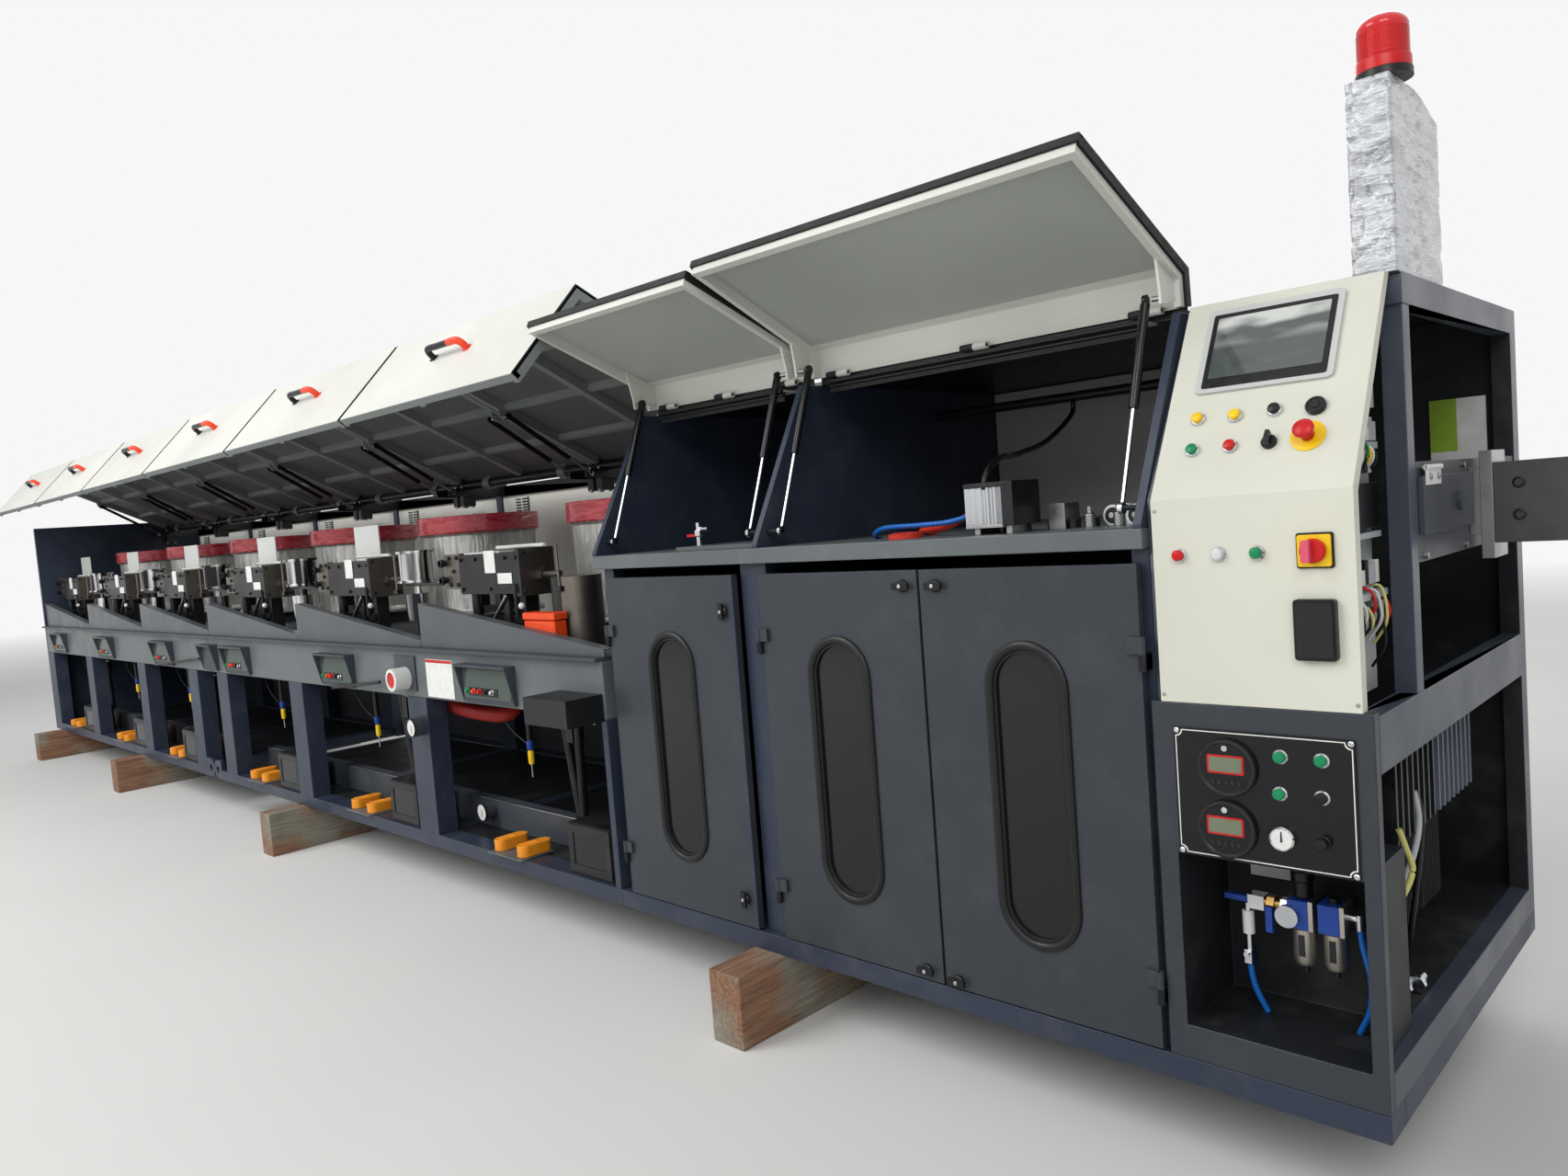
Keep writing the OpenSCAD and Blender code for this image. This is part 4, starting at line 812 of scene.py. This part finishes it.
def pierced(low, high, hole, height, place):
    """A plate from front to back with an oblong hole: its edges spread over the plate's top and bottom."""
    (x0, y0, z0), (x1, y1, z1) = low, high
    inner = oblong(hole, height) + (place[0], place[2])
    across = np.linspace(x1, x0, 25)
    outer = np.vstack((np.column_stack((across, np.full(25, z1))), np.column_stack((across[::-1], np.full(25, z0)))))
    rings = np.stack([np.insert(o, 1, y, 1) for o, y in ((outer, y0), (outer, y1), (inner, y1), (inner, y0))])
    return rings.reshape(-1, 3), grid_faces(4, 50, loop=True)


door_paint = painted("door_paint", (50, 54, 60), .34, .06, .0002)
trim_black = plastic("trim_black", (24, 24, 25), .38)
door_span = [(-2294, -1690), (-1581, -1023), (-1015, -445)]
latches = [[(-1734, 1002, 0), (-1734, 145, 0)], [(-1066, 1069, 1), (-1072, 86, 1)], [(-966, 1069, 1), (-976, 80, 1)]]
round_section = [(11 * math.cos(a), -4 - 9 * math.sin(a)) for a in np.linspace(0, 2 * math.pi, 13)[:-1]]
for k, (x0, x1) in enumerate(door_span):
    mid = ((x0 + x1) / 2, 0, 576)
    pin = x0 - 6 if k < 2 else x1 + 6
    side = 1 if k < 2 else -1
    parts = [(door_paint, pierced((x0, -3, 60), (x1, 19, 1108), 176, 684, mid)),
             (trim_black, oblong_sweep(198, 706, round_section, mid)),
             (trim_black, oblong_sweep(176, 684, [(0, -3), (0, 19), (-6, 19), (-6, -3)], mid)),
             (dark_glass, prism(oblong(178, 686) + (mid[0], 576), "y", 5, 11))]
    for z in (180, 900):
        low = z + 18.3
        parts.append((door_paint, lathe([(4.4, 0), (8, 0), (8, 36), (4.4, 36)], (pin, -10, low), "z", 24, bored=True)))
        a, b = sorted((pin + side * 6, pin + side * 34))
        parts.append((door_paint, block((a, -13, low), (b, -2.8, low + 36))))
    for x, z, flat in latches[k]:
        parts.append((black_plastic, lathe([(16, -3), (16, -9), (12, -13), (.5, -13)], (x, 0, z), "y", 28)))
        w, h = (25, 9) if flat else (9, 25)
        parts.append((black_plastic, block((x - w, -20, z - h), (x + w, -12.5, z + h))))
        parts.append((chrome, lathe([(5, -20), (5, -22), (.5, -22)], (x, 0, z), "y", 16)))
    if k == 0:
        parts.append((navy, block((x1 - 14, -4.2, 64), (x1 - .5, -3.1, 1104))))
    piece(f"door_{k + 1}_finish", f"door_{k + 1}", parts, 1.5, [f"door_{k + 1}"])
dressed("hinge_studs", [graphite], bevel=.6)


# Enclosure hoods
# Two bent steel hoods, cream outside and pale grey-green inside, stiffened by folded end frames and a
# lip, with gussets for the struts, rubber seals round the free edges and a bow handle outside.
lid_hinge = (295, 1666)
lid_slope = -np.array([243, 463]) / math.hypot(243, 463)
lid_in = left(lid_slope)
lid_bend = np.array([-80, 16])


def panel_at(u, d):
    """A point of a closed enclosure hood: u mm down its panel from the bend and d mm inwards."""
    return lid_bend + u * lid_slope + d * lid_in


lid_path = [(2, 16), lid_bend, panel_at(500, 0)]
lining, lip, seal = ([panel_at(u, d) for u, d in corners] for corners in (
    ((34, 3.1), (479, 3.1), (479, 4.4), (34, 4.4)), ((500, 0), (500, 34), (480, 34), (480, 0)),
    ((490, -5), (507, -5), (507, 14), (500.2, 14), (500.2, -.2), (490, -.2))))
lid_inside = painted("hood_inner_green", (166, 170, 164), .36, .03)
lid_wall = [(-2340, -1600), (-1580, -450)]
for k, (size, angle) in enumerate((("small", 83.9), ("large", 86.9))):
    (x0, x1), (w0, w1) = lid_span[k], lid_wall[k]
    c, s = math.cos(math.radians(angle)), math.sin(math.radians(angle))
    head = np.array([-80 * c - 14 * s, -80 * s + 14 * c])
    shut = [(material, prism(outline, "x", x0 + 24, x1 - 24))
            for material, outline in ((hood_cream, bent(lid_path, 3)), (lid_inside, lining), (hood_cream, lip))]
    shut.append((rubber, prism(seal, "x", x0, x1)))
    for low, edge in ((x0 + 7, x0), (x1 - 24, x1 - 7)):
        shut.append((hood_cream, prism(bent(lid_path, 34), "x", low, low + 17)))
        shut.append((rubber, prism(bent(lid_path, 17, -5.5), "x", edge, edge + 7)))
    for low in (w0 + 5, w1 - 12):
        gusset = [(-24, 14.5), panel_at(2, 1.5), panel_at(130, 1.5), head + (-14, -9), head + (14, -9), head + (14, 10)]
        shut.append((hood_cream, prism(gusset, "x", low, low + 7)))
    for a, b in ((w0 + 8, x0 + 44), (x1 - 44, w1 - 8)):
        shut.append((steel, rod((a, *head), (b, *head), 12)))
    for j in range(3):
        x = x0 + 60 + j * (x1 - x0 - 200) / 2 + 40.3
        shut.append((hood_cream, lathe([(5.3, 0), (10, 0), (10, 40), (5.3, 40)], (x, 0, 0), "x", 24, bored=True)))
        shut.append((hood_cream, block((x, -8, 8), (x + 40, 1, 15))))
    mid = (x0 + x1) / 2
    grip = [(mid + x, *panel_at(420, d)) for x, d in (
        (-130, 0), (-128, -30), (-108, -48), (0, -50), (108, -48), (128, -30), (130, 0))]
    shut.append((beam_grey, tube(grip, 22, 16, 60)))
    piece(f"{size}_hood_finish", f"{size}_hood",
          [(m, tilted(shape, lid_hinge, angle)) for m, shape in shut], 1.2, [f"{size}_hood"])

# Cabinet frame and front
# Square posts and rails in dark blue, open on the right with the electrical plate behind, and a
# folded lower front with a recess for the air unit. The faces that look into the cabinet and those behind
# the front are near black as painted shade.
cabinet_navy = painted("cabinet_paint", (62, 68, 80), .30, .08)


def frame_face(place, normal):
    """The faces that look into the cabinet take the near-black finish: painted shade on the one frame paint."""
    x, y, z = place.T
    inward = (((x < -400) & (normal[:, 0] > .5)) | ((y > 1200) & (normal[:, 1] < -.5))
              | ((z > 1640) & (normal[:, 2] < -.5)))
    return inward & (y > 40)


dressed("cabinet_frame", [cabinet_navy, dark_and_painted_shade], frame_face, 3)
# The front's faces behind its outer skin, in the recess and inside the cabinet, take the near-black finish as painted
# shade.
dressed("cabinet_front", [door_paint, dark_and_painted_shade], lambda place, normal: place[:, 1] > 29, 3)
heat_sink = painted("heat_sink_paint", (84, 92, 104), .42, .12)
dressed("drive_modules", [dark_and_painted_shade], bevel=.8)
parts = []
for y, tint in ((330, black_paint), (655, heat_sink)):
    parts += blocks(dark_and_painted_shade, (-134.5, y, 470, -122, y + 290, 695))
    parts += blocks(tint, *((-122, y + k, 472, -62, y + 12 + k, 692) for k in range(0, 320, 40)))
piece("heat_sinks", "frame", parts, .6)
card_green = plastic("card_green", (150, 186, 60), .5)
parts = blocks(dark_and_painted_shade, (-417.5, 32, 119, -45.2, 1254.5, 125)) + blocks(card, (-199, 1250, 1250, -66, 1254.8, 1440))
parts += blocks(card_green, (-199, 1249.4, 1300, -134, 1250.2, 1440))
piece("cabinet_floor", "frame", parts, .8)
wire_white = plastic("white_wire", (214, 214, 208), .4)
wire_yellow = plastic("yellow_wire", (206, 200, 120), .4)
rail_grey = painted("device_grey", (168, 172, 174), .4, .05)
parts = blocks(rail_grey, (-92, 250, 812, -88, 330, 1600), (-88, 96, 1308, -60, 300, 1322),
               (-88, 60, 1130, -60, 300, 1142), (-88, 60, 1010, -52, 300, 1024))
parts += blocks(black_plastic, (-120, 60, 1150, -62, 290, 1240))
generator = np.random.default_rng(7)
for z, n in ((1324, 7), (1390, 5), (1450, 4), (1260, 7), (1040, 8), (960, 9)):
    near = max(96, (z + 55 - 1237) * .588 + 50)
    for j in range(n):
        y, w, h = near + j * 22, 18, generator.uniform(26, 52)
        tint = (rail_grey, black_plastic, wire_white, green_plastic, rail_grey)[int(generator.integers(5))]
        parts.append((tint, block((-86, y, z), (-58, y + w, z + h))))
for j in range(10):
    y, z, drop = 100 + j * 18, generator.uniform(980, 1040), generator.uniform(60, 130)
    tint = (black_plastic, wire_white, black_plastic, wire_yellow, red_plastic)[j % 5]
    wire = [(-70, y, z), (-48, y + 4, z - 10), (-44, y + 12, z - drop * .6), (-72, y + 20, z - drop)]
    parts.append((tint, tube(wire, 6, 8, 24)))
for j in range(8):
    y, z = 110 + j * 16, 1290 + generator.uniform(-14, 14)
    tint = (green_plastic, yellow_plastic, wire_white, black_plastic)[j % 4]
    wire = [(-70, y, z + 30), (-46, y + 6, z + 14), (-50, y + 16, z - 10), (-74, y + 22, z - 26)]
    parts.append((tint, tube(wire, 6, 8, 24)))
piece("electrical_gear", "frame", parts, .8)
cables = [(wire_yellow, [(-60, 330, 512), (-52, 344, 470), (-48, 372, 415), (-56, 330, 372),
                         (-66, 268, 350), (-90, 245.5, 340)]),
          (rail_grey, [(-66, 470, 560), (-60, 478, 500), (-64, 462, 440), (-80, 440, 380), (-120, 420, 300)]),
          (black_plastic, [(-74, 500, 560), (-66, 520, 480), (-90, 540, 300), (-120, 560, 128)])]
parts = [(m, tube(points, 13, 12, 50)) for m, points in cables]
for x, y in ((-79, 404), (-62, 443), (-100, 380)):
    parts.append((chrome, lathe([(16, 0), (16, 14), (10, 16), (10, 44), (.5, 44)], (x, y - 22, 146), "y", 20)))
    parts.append((chrome, hexagon((x, y - 30, 146), 34, 12, "y")))
piece("cabinet_cables", "frame", parts, .8)


# Control panel
# A bent cream sheet over the cabinet's front. The screen, still under its film, the lamps, buttons and
# keyed switches are plain industrial ones, and the places of the printed marks are left bare.
def faced(shape, x, up, angle=90, foot=0):
    """Puts a shape drawn with x across, y up and z outwards on the sheet's upright or slanted part."""
    points, faces = shape
    c, s = math.cos(math.radians(angle)), math.sin(math.radians(angle))
    y = (up + points[:, 1]) * c - points[:, 2] * s
    z = foot + (up + points[:, 1]) * s + points[:, 2] * c
    return np.column_stack((x + points[:, 0], y, z)), faces


def slanted(shape, x, up):
    """The same on the slanted part, measured up from the bend."""
    return faced(shape, x, up, math.degrees(math.atan2(413, 243)), 1237)


def rounded(width, height, radius):
    """A closed rectangle with quarter circles for corners, round its own middle."""
    t = np.linspace(0, np.pi / 2, 7)
    arc = np.column_stack((np.cos(t), np.sin(t))) * radius
    quarters = []
    for k, (sx, sy) in enumerate(((1, 1), (-1, 1), (-1, -1), (1, -1))):
        c, s = math.cos(k * math.pi / 2), math.sin(k * math.pi / 2)
        turned = np.column_stack((arc[:, 0] * c - arc[:, 1] * s, arc[:, 0] * s + arc[:, 1] * c))
        quarters.append(turned + (sx * (width / 2 - radius), sy * (height / 2 - radius)))
    return np.vstack(quarters)


def turned(profile, sides):
    """A lathe shape standing out from a panel."""
    return lathe(profile, (0, 0, 0), "z", sides)

def plate(width, height, radius, low, high):
    """A rounded plate standing out from a panel."""
    return prism(rounded(width, height, radius), "z", low, high)

panel_cream = painted("panel_cream", (204, 204, 190), .40, .03, .00018)
dressed("control_panel", [panel_cream], bevel=3)
bezel_grey = painted("bezel_grey", (186, 188, 186), .3, .02)
# The screen glass: the pale band along its top, broken up by the film's folds, is a painted reflection.
f = Finish("filmed_glass_painted_reflection", (60, 66, 68), .08, Coat_Weight=1)
glare = f.crease(2.4, (1, 3, 3), (.3, 0, .2))
height = f.node("SeparateXYZ", {}, Vector=f.where(), output="Z")
painted_reflection = f.between(height, 1.752, 1.80) * f.between(glare, .5, .85)
f.set(Base_Color=f.mix(painted_reflection * .8, linear((66, 74, 72)), linear((214, 216, 210))))
f.set(Roughness=f.between(glare, 0, 1, .06, .2)).bump(glare, .002)
bezel = turned([(15, 0), (15, 4), (13, 6.5), (11.6, 6.5)], 32)
cap = turned([(11.5, 3), (11.5, 12), (9.5, 14.5), (6, 15.5), (.5, 16)], 32)
parts = [(bezel_grey, slanted(plate(272, 208, 12, 0, 7), -218, 348)),
         (black_plastic, slanted(plate(248, 184, 5, 7, 8), -218, 346)),
         (f.material, slanted(plate(226, 150, 3, 8, 9), -218, 352))]
for x, up, tint in ((-337, 184, yellow_plastic), (-260, 182, yellow_plastic), (-183, 185, black_plastic),
                    (-336, 110, green_plastic), (-259, 111, red_plastic)):
    parts += [(chrome, slanted(bezel, x, up)), (tint, slanted(cap, x, up))]
buzzer = [(19, 0), (19, 9), (17, 11), (14, 11), (13, 9), (9, 9), (8, 11), (.5, 11)]
parts += [(black_plastic, slanted(turned(buzzer, 36), -105, 182)),
          (black_plastic, slanted(turned([(15, 0), (15, 7), (12, 10), (.5, 10)], 32), -183, 112)),
          (black_plastic, slanted(prism([(-6, -12), (6, -12), (4, 17), (-4, 17)], "z", 10, 22), -183, 112)),
          (yellow_plastic, slanted(turned([(33, 0), (33, 2.5), (31, 3), (.5, 3)], 48), -112, 118)),
          (red_plastic, slanted(turned([(13, 3), (13, 22), (18, 24), (20, 28), (19.5, 32), (16, 35), (8, 37),
                                        (.5, 37.5)], 40), -112, 118))]
for x, tint in ((-351, red_plastic), (-270, plastic("white_lens", (206, 208, 206), .2)), (-195, green_plastic)):
    parts += [(chrome, faced(bezel, x, 1123)), (tint, faced(cap, x, 1123))]
parts += [(black_plastic, faced(plate(67, 67, 5, 0, 4), -88, 1124)),
          (yellow_plastic, faced(plate(60, 60, 4, 4, 10), -88, 1124)),
          (red_plastic, faced(turned([(23, 10), (23, 20), (20, 23), (.5, 23)], 40), -88, 1124)),
          (plastic("pink_handle", (214, 88, 112), .35), faced(plate(15, 42, 5, 21, 36), -96, 1124)),
          (black_plastic, faced(plate(76, 116, 7, 0, 15), -91, 975)),
          (plastic("reader_face", (34, 32, 34), .2), faced(plate(66, 104, 5, 15, 18), -91, 975))]
for x, z in ((-400, 835), (-400, 1215), (-26, 835)):
    parts.append((steel, faced(turned([(4, 0), (4, 1.5), (.5, 2)], 16), x, z)))

# Instrument plate
# An engraved black plate with a white border line holds two digital dust gauges, lamps, a pressure
# gauge and knobs; it is screwed to the lower front at its corners.
gauge_black = plastic("gauge_black", (34, 31, 33), .28)
lcd = plastic("lcd_glass", (112, 120, 98), .15, .00001)
plate_black = plastic("plate_black", (15, 16, 19), .16, .00002)
corner_arc = np.linspace(0, np.pi / 2, 6)
notch = 13 * np.column_stack((np.cos(corner_arc), np.sin(corner_arc)))
line = []
for k, (sx, sy) in enumerate(((1, 1), (-1, 1), (-1, -1), (1, -1))):
    arc = notch * (-sx, -sy) + (sx * 171, sy * 129)
    line.append(arc[::-1] if k % 2 == 0 else arc)
line = np.vstack(line)
thin = line * (1 - 2.2 / 171, 1 - 2.2 / 129)
border = np.stack([np.insert(o, 2, h, 1) for o, h in ((line, 4), (line, 4.6), (thin, 4.6), (thin, 4))])
parts += [(plate_black, faced(plate(350, 266, 3, 0, 4), -208, 636)),
          (card, faced((border.reshape(-1, 3), grid_faces(4, len(line), loop=True)), -208, 636))]
for sx, sy in ((1, 1), (-1, 1), (-1, -1), (1, -1)):
    parts.append((chrome, faced(turned([(6, 4), (6, 5.5), (4, 7), (.5, 7)], 20), -208 + sx * 168, 636 + sy * 126)))
ring = [(58.5, 4), (58.5, 15), (56, 18), (52, 18), (49, 15)]
for x, z in ((-273, 694), (-279, 568)):
    parts += [(gauge_black, faced(turned(ring, 56), x, z)),
              (plate_black, faced(turned([(50, 10), (50, 15.3), (.5, 15.3)], 48), x, z)),
              (red_plastic, faced(plate(74, 38, 4, 15.3, 16.2), x, z + 8)),
              (lcd, faced(plate(66, 30, 2, 16.2, 17), x, z + 8)),
              (chrome, faced(turned([(6, 15), (6, 18), (.5, 18)], 20), x, z + 41))]
    for j in range(5):
        parts.append((gauge_black, faced(plate(9, 9, 1.5, 15.3, 17), x - 26 + j * 13, z - 28)))
for x, z in ((-170, 725), (-94, 725), (-174, 652)):
    parts += [(chrome, faced(bezel, x, z)), (green_plastic, faced(cap, x, z))]
parts += [(chrome, faced(bezel, -96, 653)), (black_plastic, faced(cap, -96, 653)),
          (chrome, faced(turned([(24.5, 4), (24.5, 14), (22, 17), (20, 14)], 40), -171, 565)),
          (card, faced(turned([(20.5, 10), (20.5, 14.5), (.5, 14.5)], 40), -171, 565)),
          (black_plastic, faced(prism([(-2, -6), (2, -6), (1, 15), (-1, 15)], "z", 14.5, 15.5), -171, 565)),
          (black_plastic, faced(turned([(14, 4), (14, 8), (12, 10), (12, 24), (10, 27), (.5, 28)], 18), -96, 567))]
piece("panel_controls_finish", "frame", parts, .6, ["panel_controls"])

# Air unit
# Two filter bowls of pressed steel under blue heads, a ball valve with a blue lever and brass and
# chrome adapters, screwed to the back of the recess; blue hoses lead into its floor.
brass = metal("brass", (176, 142, 84), .3)
bowl = metal("bowl_steel", (190, 184, 174), .34)
profile = [(12, 0), (19, 3), (23, 12), (23, 78), (20, 82), (20, 84)]
parts = []
for x in (-190, -130):
    parts.append((bowl, lathe(profile, (x, 140, 258), sides=32)))
    parts += blocks(blue_plastic, (x - 24, 110, 341, x + 24, 166, 400))
    parts += blocks(bowl, (x + 18, 108, 340, x + 27, 170, 402))
    parts += blocks(dark_and_painted_shade, (x - 6, 114.5, 282, x + 6, 119, 326))
    parts += blocks(steel, (x - 8, 166, 360, x + 8, 240, 380)) + rods(black_plastic, (x, 140, 244, x, 140, 260, 12))
head = [(16, 0), (19, 4), (19, 34), (22, 38), (22, 56), (18, 60), (.5, 60)]
parts += [(black_plastic, lathe(head, (-190, 140, 400), sides=24)),
          (black_plastic, lathe([(12, 0), (12, 10), (.5, 12)], (-130, 140, 400), sides=20)),
          (chrome, lathe([(23, -6), (23, 8), (21, 10)], (-212, 104, 366), "y", 32)),
          (card, lathe([(21, -3), (21, -4), (.5, -4)], (-212, 104, 366), "y", 32)),
          (black_plastic, prism([(-223, 358), (-220, 355), (-203, 378), (-205, 380)], "y", 98.6, 99.6))]
parts += rods(brass, (-268, 140, 375, -216, 140, 375, 24)) + bolts(brass, 30, 16, "x", (-262, 140, 375))
parts += bolts(chrome, 30, 18, "x", (-234, 140, 375)) + bolts(chrome, 26, 30, "z", (-306, 140, 236))
parts += blocks(chrome, (-300, 124, 360, -266, 156, 390)) + blocks(card, (-335, 236, 395, -251, 239.6, 440))
parts += blocks(blue_plastic, (-352, 132, 370, -300, 148, 382), (-262, 118, 318, -248, 132, 372))
parts += rods(chrome, (-306, 140, 368, -306, 140, 250, 16), (-306, 118, 258, -306, 140, 258, 12),
              (-104, 140, 375, -84, 140, 375, 20), (-84, 140, 384, -84, 140, 352, 20))
parts += rods(white_paint, (-306, 140, 350, -306, 140, 300, 24))
inlet_hose = [(-306, 140, 238), (-304, 140, 210), (-296, 142, 175), (-276, 146, 131)]
outlet_hose = [(-84, 140, 354), (-80, 140, 320), (-68, 142, 255), (-72, 146, 190), (-96, 152, 131)]
parts += [(hose_blue, tube(inlet_hose, 13, 14, 40)), (hose_blue, tube(outlet_hose, 13, 14, 60))]
piece("air_unit_finish", "frame", parts, .8, ["air_unit"])


# Signal tower
# A sheet box on the cabinet's top with a red lamp, both still wrapped for the road: clear film drawn
# tight round the box, with sharp folds.
def crumpled_box():
    """A rounded outline raised in rings and closed over the top. Each point is drawn in by up to 6 mm where a
    sum of slanted waves crosses zero, which leaves sharp folds between them."""
    outline = rounded(84, 338, 9)
    outline = np.vstack([outline[k] + (outline[(k + 1) % 28] - outline[k]) * u for k in range(28)
                         for u in (np.arange(16) / 16 if k % 7 == 6 else (0,))]) + (-43, 432)
    middle = np.array([-43, 432])
    rise = np.linspace(1650, 2026, 74)
    shrink = np.linspace(1, .02, 16)
    heights = np.concatenate((rise, np.full(16, 2029)))
    scale = np.concatenate((np.ones(74), shrink))
    points = np.empty((90, len(outline), 3))
    points[:, :, :2] = middle + (outline - middle) * scale[:, None, None]
    points[:, :, 2] = np.minimum(heights[:, None], np.interp(points[:, :, 1], (449, 602), (2029, 1987)))
    waves = np.zeros(points.shape[:2])
    for k, (a, b, c, d) in enumerate(((.05, .04, .035, 0), (-.07, .05, .06, 2),
                                        (.09, -.08, .03, 4), (.04, .11, -.09, 1))):
        waves += np.sin(points @ np.array([a, b, c]) + d + 2 * np.sin(points @ np.array([c, a, b]) * .6)) / (1 + k * .4)
    fold = np.clip(1 - np.abs(waves) * 2.2, 0, 1)
    out = (outline - middle) / np.linalg.norm(outline - middle, axis=1)[:, None]
    points[:, :, :2] -= out * (fold * 6)[:, :, None]
    return points.reshape(-1, 3), grid_faces(90, len(outline))


# The pale streaks on this film's folds are partly painted highlight.
clear_film = film("clear_film", (178, 180, 184), (240, 242, 244), .14, .15, (0, .2, 0))
piece("tower_wrap", "frame", [(clear_film, crumpled_box())], 0, ["tower_box"])
lens_red = plastic("red_lens", (206, 18, 22), .12, .00003, Coat_Weight=.6)
t = np.linspace(0, 1, 26)
ribs = [(47.5 - (k % 2) * 1.4, 42 + 52 * u) for k, u in enumerate(t)]
dome = [(47.5 * math.cos(a), 98 + 29 * math.sin(a)) for a in np.linspace(0, 1.5, 12)]
parts = [(black_plastic, lathe([(52, 0), (52, 14), (50, 16)], (-26, 320, 2030), "z", 48)),
         (red_plastic, lathe([(50, 16), (50, 36), (48, 41)], (-26, 320, 2030), "z", 48)),
         (lens_red, lathe(ribs + dome, (-26, 320, 2030), "z", 64))]
piece("beacon_finish", "frame", parts, 0, ["beacon"])

# Wire inlet
# A dark steel block with socket bolts on light machined plates, beside a graphite cover plate with a
# hexagon bolt and a small white hinge, bolted through the cabinet's right side.
scale_steel = metal("dark_steel", (98, 96, 94), .42, (1, 1, 1), .2)


def inlet_face(place, normal):
    """Which metal each plate of the inlet is: 0 graphite, 1 machined steel, 2 dark steel."""
    x, y = place[:, 0], place[:, 1]
    return np.where(x > 46.2, 2, np.where((x > 8.2) | ((y > 748) & (x > -2.6)), 1, 0))


dressed("wire_inlet", [graphite, steel, scale_steel], inlet_face, 2)
parts = [(graphite, hexagon((8, 620, 1185), 42, 9, "x")), (white_paint, block((8.2, 362, 1226), (11, 470, 1268))),
         (white_paint, rod((10, 362, 1262), (10, 470, 1262), 12))]
for y in (388, 446):
    parts.append((steel, lathe([(7, 11), (7, 14), (4, 15), (.5, 15)], (0, y, 1243), "x", 20)))
for x, z in ((96, 1214), (96, 1142)):
    parts.append((black_paint, lathe([(13, 0), (13, -3), (9, -4), (8, 1)], (x, 750, z), "y", 24)))
for y, z in ((380, 1262), (380, 1082), (700, 1262), (700, 1082)):
    parts.append((steel, hexagon((-3, y, z), 14, 8, "x")))
piece("inlet_bolts", "frame", parts, .6)
